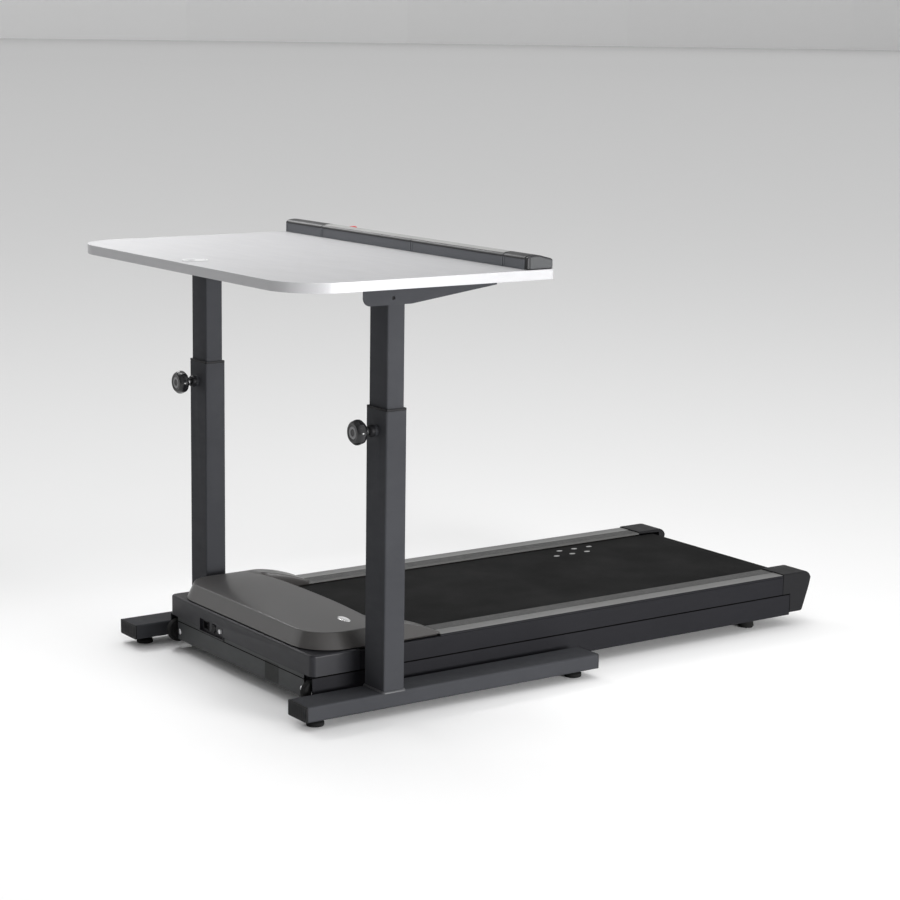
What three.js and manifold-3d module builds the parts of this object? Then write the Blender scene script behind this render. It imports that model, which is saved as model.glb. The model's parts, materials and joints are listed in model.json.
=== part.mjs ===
// A walking treadmill under a height-adjustable desk, in millimetres, +Z up.
// The walker faces -Y, +X is the walker's left hand, and the floor is z = 0.
// The origin is the centre of the whole object's footprint, on the floor.
import * as THREE from "three";
import { mergeVertices } from "three/addons/utils/BufferGeometryUtils.js";
import Module from "manifold-3d";

const wasm = await Module();
wasm.setup();

// ---------- driving dimensions ----------
const GAP = 0.3; // left between pieces that touch
const ARC_STEPS = 6; // straight steps in each quarter turn of an outline
const ROUND_STEPS = 24; // straight steps round a turned piece
const LOOP_STEPS = 20; // straight steps round each end of a belt

// Treadmill deck
const BASE_HALF = 362; // half the width over the side skirts
const BASE_FRONT = -737; // front face
const BASE_REAR = 910; // rearmost point of the end caps
const SKIRT_BOTTOM = 31;
const SKIRT_TOP = 141;
const SKIRT_WALL = 3;
const SEAM_Z = 92; // dividing line between the upper and the lower covers
const RAIL_INNER = 271; // inner edge of a foot rail
const RAIL_TOP = 147;
const RAIL_GROOVE = 313; // between its ribbed and smooth strips
const CAP_FRONT = 805;
const CAP_TOP = 150;
const CAP_STEP = 832; // front of the lower half of an end cap
const CAP_BOTTOM = 38;
const CAP_HEEL = 872; // where its underside starts to round up
const CAP_WALL = 3;

// Walking belt, deck board and rollers
const BELT_HALF = 267;
const BELT_THICK = 2;
const DECK_TOP = 137.5;
const DECK_THICK = 18;
const DECK_HALF = 316;
const DECK_FRONT = -498;
const DECK_REAR = 800;
const ROLLER_Z = 108;
const ROLLER_R = 29.5;
const ROLLER_HALF = 265;
const FRONT_ROLLER_Y = -550;
const REAR_ROLLER_Y = 850;
const AXLE_R = 8;
const AXLE_HALF = 328;
const RUNNING = 0.4; // radial clearance round a turning piece

// Drive
const DRIVE_X = [270, 286]; // span of both pulleys and the drive belt
const ROLLER_PULLEY_R = 45;
const MOTOR_PULLEY_R = 15;
const DRIVE_BELT_THICK = 3;
const MOTOR_Y = -655;
const MOTOR_Z = 110;
const MOTOR_R = 48;
const MOTOR_X = [60, 236];
const SHAFT_R = 6;
const CONTROLLER_X = [-250, -50];
const CONTROLLER_Y = [-685, -605];
const CONTROLLER_TOP = 90;
const FIN = 6; // width of a heat-sink fin and of the slot beside it

// Base frame
const FRAME_X = [290, 320];
const FRAME_Y = [-728, 876];
const FRAME_Z = [45, 119.2];
const FRAME_WALL = 2.5;
const TRAY_Y = [-712, -592];
const TRAY_Z = [50, 53]; // the tray's floor
const FOOT_X = 305;
const FOOT_Y = [-600, 722];
const FOOT_R = 22;

// Transport wheels
const WHEEL_R = 31;
const WHEEL_Y = -723;
const WHEEL_Z = 50;
const WHEEL_X = [331, 353];
const WHEEL_STUD_R = 5;

// Hood
const HOOD_FRONT = -730;
const HOOD_HALF = 357;
const HOOD_CORNER = 105;
const HOOD_BOTTOM = 148;
const HOOD_FOOT = 141.3; // bottom of the recessed plinth at the sides
const HOOD_RIM_Y = -518;
const HOOD_RIM_Z = 201;
const HOOD_TIP_Y = -358;
const HOOD_TIP_Z = 150;
const HOOD_WALL = 3;
const HOOD_PLINTH = 9; // how far the plinth stands in from the hood's edge
const HOOD_BROW = [-713, 187]; // y and z where the steep front turns into the top
const HOOD_LEAN = 0.47; // how far the sides lean in for each mm up
const BAY_LEAN = 0.15; // how far a wing's inner face leans out for each mm up
const BAY_RAKE = 17; // how far the bay's front wall leans forward up to the rim

// Lower front panel and side skirts
const PAN_X = [-322, 322];
const PAN_REAR = -640;
const SKIRT_FRONT = -735; // front end of a skirt's lower band
const SKIRT_LIP = 15; // width of the lip under a foot rail's outer edge

// Front cover
const COVER_TOP = 145;
const COVER_WALL = 4;
const COVER_REAR = -600;
const COVER_CORNER = 16;
const COVER_BAY = [-300, 300]; // the open top over the motor bay
const COVER_LEDGE = 37; // depth of the ledge in front of it
const PANEL_X = [-198, -76]; // the power panel's recess
const PANEL_Z = [84, 116];
const PANEL_DEPTH = 9;
const INLET_X = [-192, -164];
const INLET_Z = [88, 112];
const ROCKER_X = [-146, -130];
const ROCKER_Z = [90, 110];
const BREAKER_X = -102;
const BREAKER_Z = 100;
const BREAKER_R = 6;
const PANEL_BACK = BASE_FRONT + PANEL_DEPTH;

// Desk legs
const LEG_X = 438;
const LEG_Y = -577.5;
const OUTER = [88, 59];
const INNER = [78, 49];
const OUTER_WALL = 3;
const INNER_WALL = 2.5;
const OUTER_TOP = 750;
const INNER_BOTTOM = 284;
const BUSH_TOP = 756;
const BUSH_BOTTOM = 716;
const BAR_Y = [-820, 51];
const BAR_Z = [23, 62];
const BAR_CAP = 3;
const GLIDE_R = 22;
const STEM_R = 5;
const GLIDE_INSET = 46; // from the end of a foot bar to a glide's centre
const KNOB_Z = 700;
const KNOB_R = 31;
const KNOB_FACE = -674;
const BOSS_R = 14;
const BOSS_LENGTH = 9;
const SCREW_R = 6;
const PAD_LENGTH = 8.5; // pressure pad ahead of the clamp screw
const KNOB_LOBES = 8;
const LOBE_DEPTH = 3.2;

// Desktop
const DESK_HALF = 570.5;
const DESK_Y = [-910, -185];
const DESK_Z = [1052, 1076];
const DESK_REAR_CORNER = 130;
const DESK_USER_CORNER = 8;
const GROMMET_Y = -852;
const GROMMET_R = 30;
const GROMMET_WALL = 2.5;
const CABLE_SLOT = [[-9, 9], [-878, -860]]; // x and y of the slot in the grommet's lid
const ARM_HALF = 46; // half the width of a support arm
const ARM_Y = [-675, -292];
const ARM_Z = 1004; // deepest edge of a support arm
const ARM_WALL = 2.5;
const ARM_KNEE_Y = -539; // where an arm's lower edge starts to rise
const ARM_RISE = 32;
const ARM_ROUND = 20;
const ARM_BOLT = [-591, 1020]; // y and z of the bolt hole through an arm
const BEAM_Y = [-470, -430];
const BEAM_Z = [1019, 1049];
const BEAM_WALL = 2;

// Console
const CONSOLE_Y = [-260, -183];
const CONSOLE_TOP = 1111;
const CONSOLE_X = [-560, -374, 62, 462, 562]; // ends and seams
const CROWN_Y = -222; // where the top starts to slope down to the user
const CROWN_Z = 1110;
const SLOPE_END = [-189, 1101.5];
const KEY_SIZE = [26, 16];
const KEY_Y = -206;
const KEY_X = [-250, -205, -160];
const WINDOW_X = [-110, 10];
const SAFETY_X = -300;
const SAFETY_R = 12;
const CONSOLE_WALL = 3;

// ---------- solids ----------
function solidOf(geometry) {
  const bare = geometry.index ? geometry.toNonIndexed() : geometry.clone();
  bare.deleteAttribute("normal");
  bare.deleteAttribute("uv");
  const merged = mergeVertices(bare, 1e-4);
  const triVerts = new Uint32Array(merged.index.array);
  const vertProperties = new Float32Array(merged.attributes.position.array);
  const made = new wasm.Manifold(new wasm.Mesh({ numProp: 3, vertProperties, triVerts }));
  if (made.volume() > 0) return made;
  for (let i = 0; i < triVerts.length; i += 3) {
    [triVerts[i + 1], triVerts[i + 2]] = [triVerts[i + 2], triVerts[i + 1]];
  }
  return new wasm.Manifold(new wasm.Mesh({ numProp: 3, vertProperties, triVerts }));
}

const join = (...solids) => solids.reduce((all, next) => all.add(next));
const cut = (from, ...tools) => tools.reduce((left, tool) => left.subtract(tool), from);

function geometryOf(solid) {
  const mesh = solid.getMesh();
  const stride = mesh.numProp;
  const position = new Float32Array(mesh.numVert * 3);
  for (let i = 0; i < mesh.numVert; i++) {
    position.set(mesh.vertProperties.subarray(i * stride, i * stride + 3), i * 3);
  }
  const geometry = new THREE.BufferGeometry();
  geometry.setAttribute("position", new THREE.BufferAttribute(position, 3));
  geometry.setIndex(new THREE.BufferAttribute(new Uint32Array(mesh.triVerts), 1));
  geometry.computeVertexNormals();
  return geometry;
}

function box([x0, x1], [y0, y1], [z0, z1]) {
  const made = new THREE.BoxGeometry(x1 - x0, y1 - y0, z1 - z0);
  return solidOf(made.translate((x0 + x1) / 2, (y0 + y1) / 2, (z0 + z1) / 2));
}

function shapeOf(outline) {
  if (outline instanceof THREE.Shape) return outline;
  return new THREE.Shape(outline.map(([u, v]) => new THREE.Vector2(u, v)));
}

function extrude(outline, length, steps = ARC_STEPS) {
  const options = { depth: length, bevelEnabled: false, curveSegments: steps };
  return new THREE.ExtrudeGeometry(shapeOf(outline), options);
}

// An outline in (y, z), carried along X.
function alongX(outline, [x0, x1], steps) {
  const turn = new THREE.Matrix4().makeBasis(
    new THREE.Vector3(0, 1, 0),
    new THREE.Vector3(0, 0, 1),
    new THREE.Vector3(1, 0, 0),
  );
  return solidOf(extrude(outline, x1 - x0, steps).applyMatrix4(turn).translate(x0, 0, 0));
}

// An outline in (x, z), carried along Y.
function alongY(outline, [y0, y1]) {
  return solidOf(extrude(outline, y1 - y0).rotateX(Math.PI / 2).translate(0, y1, 0));
}

// An outline in (x, y), carried along Z.
function alongZ(outline, [z0, z1]) {
  return solidOf(extrude(outline, z1 - z0).translate(0, 0, z0));
}

// A rectangle with a radius at each corner, in the order low-low, high-low, high-high, low-high.
function roundedRect([u0, u1], [v0, v1], radii) {
  const [a, b, c, d] = Array.isArray(radii) ? radii : [radii, radii, radii, radii];
  const shape = new THREE.Shape();
  const quarter = Math.PI / 2;
  shape.moveTo(u0 + a, v0);
  shape.lineTo(u1 - b, v0);
  shape.absarc(u1 - b, v0 + b, b, -quarter, 0, false);
  shape.lineTo(u1, v1 - c);
  shape.absarc(u1 - c, v1 - c, c, 0, quarter, false);
  shape.lineTo(u0 + d, v1);
  shape.absarc(u0 + d, v1 - d, d, quarter, Math.PI, false);
  shape.lineTo(u0, v0 + a);
  shape.absarc(u0 + a, v0 + a, a, Math.PI, Math.PI + quarter, false);
  return shape;
}

// A closed profile of [radius, height] points turned round an axis through `at`.
function turned(profile, axis, at, steps = ROUND_STEPS) {
  const points = profile.map(([r, h]) => new THREE.Vector2(r, h));
  const ring = profile.every(([r]) => r > 0);
  if (ring) points.push(points[0].clone());
  const made = new THREE.LatheGeometry(points, steps);
  if (axis === "x") made.rotateZ(-Math.PI / 2);
  if (axis === "z") made.rotateX(Math.PI / 2);
  return solidOf(made.translate(...at));
}

const disc = (r, [h0, h1], axis, at, steps) =>
  turned([[0, h0], [r, h0], [r, h1], [0, h1]], axis, at, steps);

const tube = (outer, inner, [h0, h1], axis, at, steps) =>
  turned([[inner, h0], [outer, h0], [outer, h1], [inner, h1]], axis, at, steps);

// A rectangular tube standing on Z, centred on (x, y).
function upright([x, y], [w, d], wall, [z0, z1]) {
  const outside = box([x - w / 2, x + w / 2], [y - d / 2, y + d / 2], [z0, z1]);
  if (!wall) return outside;
  const inside = [w / 2 - wall, d / 2 - wall];
  return cut(outside, box([x - inside[0], x + inside[0]], [y - inside[1], y + inside[1]], [z0 - 1, z1 + 1]));
}

const mirrored = (span, side) => (side > 0 ? span : [-span[1], -span[0]]);
const grown = ([low, high], by) => [low - by, high + by];

// ---------- materials ----------
const finish = (color, roughness, metalness) =>
  new THREE.MeshStandardMaterial({ color, roughness, metalness });
const paint = {
  laminate: finish(0xe9e9ea, 0.45, 0),
  steel: finish(0x3d3d42, 0.6, 0.3),
  barSteel: finish(0x43474a, 0.6, 0.3),
  plastic: finish(0x2c2c31, 0.55, 0),
  skirt: finish(0x2b2b30, 0.5, 0),
  hood: finish(0x55524f, 0.3, 0.1),
  rail: finish(0x868686, 0.45, 0.6),
  belt: finish(0x2a2a2a, 0.9, 0),
  console: finish(0x474a52, 0.5, 0),
  rubber: finish(0x161616, 0.9, 0),
  bright: finish(0xb8babd, 0.3, 0.9),
  frame: finish(0x202124, 0.7, 0.3),
  board: finish(0x4a3a2c, 0.7, 0),
  lens: finish(0x0c0d10, 0.1, 0),
  key: finish(0xb5b7ba, 0.5, 0),
  red: finish(0xb02020, 0.5, 0),
};

const model = new THREE.Group();
const sides = [["left", 1], ["right", -1]]; // the walker's left is +X

function add(name, solid, material) {
  const mesh = new THREE.Mesh(geometryOf(solid), material);
  mesh.name = name;
  model.add(mesh);
}

// ---------- desk top ----------
function desktop() {
  const corners = [DESK_REAR_CORNER, DESK_REAR_CORNER, DESK_USER_CORNER, DESK_USER_CORNER];
  const board = alongZ(roundedRect([-DESK_HALF, DESK_HALF], DESK_Y, corners), DESK_Z);
  const hole = disc(GROMMET_R, [DESK_Z[0] - 1, DESK_Z[1] + 1], "z", [0, GROMMET_Y, 0]);
  return cut(board, hole);
}

// A sleeve with a flange on top and a lid that has a slot for cables.
function grommet() {
  const top = DESK_Z[1] + GAP;
  const bottom = DESK_Z[0] + 2;
  const sleeve = GROMMET_R - GAP;
  const flange = GROMMET_R + GROMMET_WALL;
  const inside = GROMMET_R - GROMMET_WALL;
  const profile = [
    [0, top + 2], [flange, top + 2], [flange, top], [sleeve, top],
    [sleeve, bottom], [inside, bottom], [inside, top - 1], [0, top - 1],
  ];
  return cut(turned(profile, "z", [0, GROMMET_Y, 0]), box(...CABLE_SLOT, [top - 3, top + 4]));
}

// The side outline of a support arm: full depth over the leg, tapering towards the user.
function armOutline() {
  const shape = new THREE.Shape();
  shape.moveTo(ARM_Y[0], DESK_Z[0] - GAP);
  shape.lineTo(ARM_Y[0], ARM_Z + ARM_ROUND);
  shape.absarc(ARM_Y[0] + ARM_ROUND, ARM_Z + ARM_ROUND, ARM_ROUND, Math.PI, 1.5 * Math.PI, false);
  shape.lineTo(ARM_KNEE_Y, ARM_Z);
  shape.lineTo(ARM_Y[1], ARM_Z + ARM_RISE);
  shape.lineTo(ARM_Y[1], DESK_Z[0] - GAP);
  return shape;
}

// Telescoping inner tube, welded under an inverted channel that carries the desktop. The channel's inner
// flange starts at the tube.
function upperLeg(side) {
  const x = side * LEG_X;
  const channel = cut(
    alongX(armOutline(), grown([x, x], ARM_HALF)),
    box(grown([x, x], ARM_HALF - ARM_WALL), grown(ARM_Y, 1), [ARM_Z - 1, DESK_Z[0] - GAP - ARM_WALL]),
  );
  const frontFlange = box(
    mirrored([LEG_X - ARM_HALF - 1, LEG_X], side),
    [ARM_Y[0] - 1, LEG_Y - INNER[1] / 2],
    [ARM_Z - 1, DESK_Z[0] - GAP - ARM_WALL],
  );
  const post = upright([x, LEG_Y], INNER, INNER_WALL, [INNER_BOTTOM, DESK_Z[0] - GAP - 1]);
  const boltHole = disc(5, [-60, 60], "x", [x, ...ARM_BOLT]);
  return cut(join(cut(channel, frontFlange), post), boltHole);
}

function crossbeam() {
  const half = LEG_X - ARM_HALF - GAP;
  const outside = box([-half, half], BEAM_Y, BEAM_Z);
  return cut(outside, box(grown([-half, half], 1), grown(BEAM_Y, -BEAM_WALL), grown(BEAM_Z, -BEAM_WALL)));
}

// ---------- console on the user's edge ----------
// Its cross-section, open at the bottom when `inset` makes it the hollow inside.
function consoleOutline(inset) {
  const [back, front] = grown(CONSOLE_Y, -inset);
  const base = DESK_Z[1] + GAP - (inset ? 1 : 0);
  const top = CONSOLE_TOP - inset;
  return [
    [back, base], [back, top - 7], [back + 4, top - 3.5], [back + 14, top - 1], [back + 26, top],
    [CROWN_Y, CROWN_Z - inset], [SLOPE_END[0] - inset, SLOPE_END[1] - inset],
    [front, top - 13], [front, base],
  ];
}

// Height of the console's top surface over the user's side of its crown.
const CONSOLE_SLOPE = (CROWN_Z - SLOPE_END[1]) / (CROWN_Y - SLOPE_END[0]);
const consoleTopAt = (y) => CROWN_Z + CONSOLE_SLOPE * (y - CROWN_Y);

function consoleShell([x0, x1]) {
  const shell = alongX(consoleOutline(0), [x0, x1]);
  return cut(shell, alongX(consoleOutline(CONSOLE_WALL), grown([x0, x1], -CONSOLE_WALL)));
}

function consoleHousing() {
  const seam = CONSOLE_X[2];
  const groove = cut(
    box([seam - 1, seam + 1], grown(CONSOLE_Y, 2), [DESK_Z[1], CONSOLE_TOP + 2]),
    alongX(consoleOutline(1.2), [seam - 2, seam + 2]),
  );
  const keyHoles = KEY_X.map((x) => keyBlock(x, RUNNING, 4, -8));
  const windowHole = windowBlock(GAP, 4);
  const keyWell = disc(SAFETY_R + RUNNING, [-4, 12], "z", [SAFETY_X, KEY_Y, consoleTopAt(KEY_Y)]);
  const body = consoleShell([CONSOLE_X[1] + GAP, CONSOLE_X[3] - GAP]);
  const floor = slopedBlock([SAFETY_X - 20, SAFETY_X + 20], [KEY_Y - 14, KEY_Y + 14], -1, 1092);
  const seat = slopedBlock(grown(WINDOW_X, 4), [KEY_Y - 15, KEY_Y + 15], -1, 1093);
  return cut(join(body, floor, seat), groove, windowHole, keyWell, ...keyHoles);
}

// A block whose top follows the console's slope, `lift` above it.
function slopedBlock([x0, x1], [y0, y1], lift, bottom) {
  const outline = [
    [y0, bottom], [y1, bottom], [y1, consoleTopAt(y1) + lift], [y0, consoleTopAt(y0) + lift],
  ];
  return alongX(outline, [x0, x1]);
}

function keyBlock(x, grow, lift, sink) {
  const [w, d] = KEY_SIZE.map((size) => size / 2 + grow);
  return slopedBlock([x - w, x + w], [KEY_Y - d, KEY_Y + d], lift, 1098 + sink);
}

function windowBlock(grow, lift) {
  return slopedBlock(grown(WINDOW_X, grow), grown([KEY_Y - 12, KEY_Y + 12], grow), lift, 1097.3 - grow);
}

// Magnetic disc with a grip that lifts off to stop the belt.
function safetyKey() {
  const base = consoleTopAt(KEY_Y) - 4 + GAP;
  return join(
    disc(SAFETY_R, [0, 6], "z", [SAFETY_X, KEY_Y, base]),
    box([SAFETY_X - 2, SAFETY_X + 2], [KEY_Y - 9, KEY_Y + 9], [base + 5, base + 7.5]),
  );
}

// ---------- lower desk frame ----------
// Outer tube welded on a foot bar, with the clamp screw's boss on its front face.
function lowerLeg(side) {
  const x = side * LEG_X;
  const half = OUTER[0] / 2;
  const front = LEG_Y - OUTER[1] / 2;
  const bar = box([x - half, x + half], BAR_Y, BAR_Z);
  const barBore = box(grown([x - half, x + half], -OUTER_WALL), grown(BAR_Y, 1), grown(BAR_Z, -OUTER_WALL));
  const post = upright([x, LEG_Y], OUTER, OUTER_WALL, [BAR_Z[1] - 1, OUTER_TOP]);
  const boss = disc(BOSS_R, [-BOSS_LENGTH, 1], "y", [x, front, KNOB_Z]);
  const screwHole = disc(SCREW_R + RUNNING, [-BOSS_LENGTH - 1, OUTER_WALL + 1], "y", [x, front, KNOB_Z]);
  const stemHoles = [BAR_Y[0] + GLIDE_INSET, BAR_Y[1] - GLIDE_INSET].map((y) =>
    disc(STEM_R + RUNNING, [BAR_Z[0] - 1, BAR_Z[0] + OUTER_WALL + 1], "z", [x, y, 0], 16),
  );
  return cut(join(cut(bar, barBore), post, boss), screwHole, ...stemHoles);
}

// Plastic sleeve between the tubes, with a flange on the outer tube's mouth.
function guideBush(side) {
  const at = [side * LEG_X, LEG_Y];
  const bore = INNER.map((size) => size + 2 * GAP);
  const sleeve = OUTER.map((size) => size - 2 * OUTER_WALL - 2 * GAP);
  return cut(
    join(
      upright(at, sleeve, 0, [BUSH_BOTTOM, OUTER_TOP + 1]),
      upright(at, OUTER, 0, [OUTER_TOP + GAP, BUSH_TOP]),
    ),
    upright(at, bore, 0, [BUSH_BOTTOM - 1, BUSH_TOP + 1]),
  );
}

// Plug in the open end of a foot bar.
function barCap(side, end) {
  const x = side * LEG_X;
  const half = OUTER[0] / 2;
  const out = end === "front" ? -1 : 1;
  const mouth = end === "front" ? BAR_Y[0] : BAR_Y[1];
  const span = (from, to) => (out > 0 ? [mouth + from, mouth + to] : [mouth - to, mouth - from]);
  const plate = alongY(roundedRect([x - half, x + half], BAR_Z, 4), span(GAP, BAR_CAP));
  const inset = OUTER_WALL + GAP;
  const plug = box(grown([x - half, x + half], -inset), span(-18, GAP + 1), grown(BAR_Z, -inset));
  return join(plate, plug);
}

// Round floor glide with a stem pressed into the foot bar.
function glide(side, end) {
  const y = end === "front" ? BAR_Y[0] + GLIDE_INSET : BAR_Y[1] - GLIDE_INSET;
  const top = BAR_Z[0] - GAP;
  const stemTop = BAR_Z[0] + 12;
  const profile = [
    [0, 0], [GLIDE_R - 2, 0], [GLIDE_R, 3], [GLIDE_R, 9], [14, top], [STEM_R, top],
    [STEM_R, stemTop], [0, stemTop],
  ];
  return turned(profile, "z", [side * LEG_X, y, 0]);
}

// Pressure pad that the clamp screw pushes against the inner tube.
function clampPad(side) {
  const tip = LEG_Y - INNER[1] / 2 - GAP;
  return disc(SCREW_R, [-PAD_LENGTH, 0], "y", [side * LEG_X, tip, KNOB_Z], 20);
}

// Lobed hand knob on a flared neck, with its screw.
function clampKnob(side) {
  const x = side * LEG_X;
  const face = LEG_Y - OUTER[1] / 2;
  const screwEnd = LEG_Y - INNER[1] / 2 - 2 * GAP - PAD_LENGTH;
  const neckStart = face - BOSS_LENGTH - 6.5;
  const headStart = neckStart - 22;
  const count = KNOB_LOBES * 6;
  const outline = [];
  for (let i = 0; i < count; i++) {
    const angle = (i / count) * 2 * Math.PI;
    const r = KNOB_R - (LOBE_DEPTH / 2) * (1 - Math.cos(KNOB_LOBES * angle));
    outline.push([x + r * Math.cos(angle), KNOB_Z + r * Math.sin(angle)]);
  }
  const head = alongY(outline, [KNOB_FACE + 5, headStart]);
  const body = turned(
    [
      [0, screwEnd], [SCREW_R, screwEnd], [SCREW_R, neckStart], [12, neckStart], [14, neckStart - 8],
      [24, headStart], [26, headStart - 4], [26, KNOB_FACE + 4], [20, KNOB_FACE], [0, KNOB_FACE],
    ],
    "y",
    [x, 0, KNOB_Z],
    24,
  );
  return join(head, body);
}

// ---------- treadmill frame ----------
// Box-section side rail with a stud for the transport wheel.
function baseRail(side) {
  const span = mirrored(FRAME_X, side);
  const beam = cut(
    box(span, FRAME_Y, FRAME_Z),
    box(grown(span, -FRAME_WALL), grown(FRAME_Y, 1), grown(FRAME_Z, -FRAME_WALL)),
  );
  const axleHoles = [FRONT_ROLLER_Y, REAR_ROLLER_Y].map((y) =>
    disc(AXLE_R + GAP, mirrored(grown(FRAME_X, 1), side), "x", [0, y, ROLLER_Z]),
  );
  const studSpan = [FRAME_X[1] - 1, WHEEL_X[1] + 1];
  const stud = disc(WHEEL_STUD_R, mirrored(studSpan, side), "x", [0, WHEEL_Y, WHEEL_Z], 20);
  const head = disc(9, mirrored([WHEEL_X[1] + 1, WHEEL_X[1] + 5], side), "x", [0, WHEEL_Y, WHEEL_Z], 6);
  return join(cut(beam, ...axleHoles), stud, head);
}

// Folded tray between the side rails that carries the motor and its controller.
function motorTray() {
  const half = FRAME_X[0] - GAP;
  const span = [-half, half];
  const [front, rear] = TRAY_Y;
  return join(
    box(span, TRAY_Y, TRAY_Z),
    box(span, [front, front + 3], [TRAY_Z[0], TRAY_Z[0] + 30]),
    box(grown(span, -30), [rear - 3, rear], [TRAY_Z[0], TRAY_Z[0] + 22]),
  );
}

function transportWheel(side) {
  const [x0, x1] = mirrored(WHEEL_X, side);
  const r = WHEEL_STUD_R + RUNNING;
  const profile = [
    [r, x0], [WHEEL_R - 2, x0], [WHEEL_R, x0 + 3], [WHEEL_R, x1 - 3], [WHEEL_R - 2, x1], [r, x1],
  ];
  return turned(profile, "x", [0, WHEEL_Y, WHEEL_Z]);
}

function baseFoot(side, y) {
  const top = FRAME_Z[0] - GAP;
  const profile = [[0, 0], [FOOT_R - 2, 0], [FOOT_R, 4], [FOOT_R - 5, top], [0, top]];
  return turned(profile, "z", [side * FOOT_X, y, 0], 24);
}

// ---------- belt, deck and rollers ----------
// A loop round two wheels, as an outline in (y, z), `grow` outside their radii.
function loopOutline([yA, zA, rA], [yB, zB, rB], grow) {
  const apart = Math.hypot(yB - yA, zB - zA);
  const lean = Math.acos((rA - rB) / apart);
  const heading = Math.atan2(zB - zA, yB - yA);
  const shape = new THREE.Shape();
  shape.absarc(yA, zA, rA + grow, heading + lean, heading - lean, false);
  shape.absarc(yB, zB, rB + grow, heading - lean, heading + lean, false);
  shape.closePath();
  return shape;
}

function band(wheelA, wheelB, thick, span) {
  const outside = alongX(loopOutline(wheelA, wheelB, GAP + thick), span, LOOP_STEPS);
  return cut(outside, alongX(loopOutline(wheelA, wheelB, GAP), grown(span, 1), LOOP_STEPS));
}

const frontWheel = [FRONT_ROLLER_Y, ROLLER_Z, ROLLER_R];
const rearWheel = [REAR_ROLLER_Y, ROLLER_Z, ROLLER_R];

function walkingBelt() {
  return band(frontWheel, rearWheel, BELT_THICK, [-BELT_HALF, BELT_HALF]);
}

function deckBoard() {
  return box([-DECK_HALF, DECK_HALF], [DECK_FRONT, DECK_REAR], [DECK_TOP - DECK_THICK, DECK_TOP]);
}

// Steel tube with a bearing disc in each end, open through its bores.
function rollerShell(y) {
  const bore = AXLE_R + RUNNING;
  const wall = 3;
  const disk = 14;
  const profile = [
    [bore, -ROLLER_HALF], [ROLLER_R, -ROLLER_HALF], [ROLLER_R, ROLLER_HALF], [bore, ROLLER_HALF],
    [bore, ROLLER_HALF - disk], [ROLLER_R - wall, ROLLER_HALF - disk],
    [ROLLER_R - wall, disk - ROLLER_HALF], [bore, disk - ROLLER_HALF],
  ];
  return turned(profile, "x", [0, y, ROLLER_Z]);
}

function frontRoller() {
  const bore = AXLE_R + RUNNING;
  const at = [0, FRONT_ROLLER_Y, ROLLER_Z];
  return join(
    rollerShell(FRONT_ROLLER_Y),
    tube(18, bore, [ROLLER_HALF - 1, DRIVE_X[0] + 1], "x", at),
    tube(ROLLER_PULLEY_R, bore, DRIVE_X, "x", at, 36),
  );
}

const axle = (y) => disc(AXLE_R, [-AXLE_HALF, AXLE_HALF], "x", [0, y, ROLLER_Z], 24);

// ---------- drive ----------
// Motor can on a foot, hollow round its rotor.
function motorCan() {
  const [x0, x1] = MOTOR_X;
  const at = [0, MOTOR_Y, MOTOR_Z];
  const bore = SHAFT_R + RUNNING;
  const profile = [
    [bore, x0], [30, x0], [MOTOR_R, x0 + 10], [MOTOR_R, x1 - 10], [30, x1], [bore, x1],
    [bore, x1 - 10], [MOTOR_R - 4, x1 - 14], [MOTOR_R - 4, x0 + 14], [bore, x0 + 10],
  ];
  const foot = box([x0 + 40, x1 - 40], [MOTOR_Y - 36, MOTOR_Y + 36], [TRAY_Z[1] + GAP, MOTOR_Z - 30]);
  const clear = disc(MOTOR_R - 2, [x0 + 30, x1 - 30], "x", at);
  return join(turned(profile, "x", at), cut(foot, clear));
}

// Rotor on its shaft, with the grooved pulley on the left end.
function motorRotor() {
  const [x0, x1] = MOTOR_X;
  const shaftStart = x0 - 6;
  const profile = [
    [0, shaftStart], [SHAFT_R, shaftStart], [SHAFT_R, x0 + 24], [38, x0 + 24], [38, x1 - 24],
    [SHAFT_R, x1 - 24], [SHAFT_R, DRIVE_X[0]], [MOTOR_PULLEY_R, DRIVE_X[0]],
    [MOTOR_PULLEY_R, DRIVE_X[1]], [0, DRIVE_X[1]],
  ];
  return turned(profile, "x", [0, MOTOR_Y, MOTOR_Z]);
}

function driveBelt() {
  const roller = [FRONT_ROLLER_Y, ROLLER_Z, ROLLER_PULLEY_R];
  const motor = [MOTOR_Y, MOTOR_Z, MOTOR_PULLEY_R];
  return band(motor, roller, DRIVE_BELT_THICK, grown(DRIVE_X, -1));
}

// Controller on a finned heat sink.
function motorController() {
  const [x0, x1] = CONTROLLER_X;
  const base = box(CONTROLLER_X, CONTROLLER_Y, [TRAY_Z[1] + GAP, CONTROLLER_TOP]);
  const slots = [];
  for (let x = x0 + FIN; x < x1 - FIN; x += 2 * FIN) {
    slots.push(box([x, x + FIN], grown(CONTROLLER_Y, 1), [CONTROLLER_TOP - 2 * FIN, CONTROLLER_TOP + 1]));
  }
  return cut(base, ...slots);
}

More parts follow.
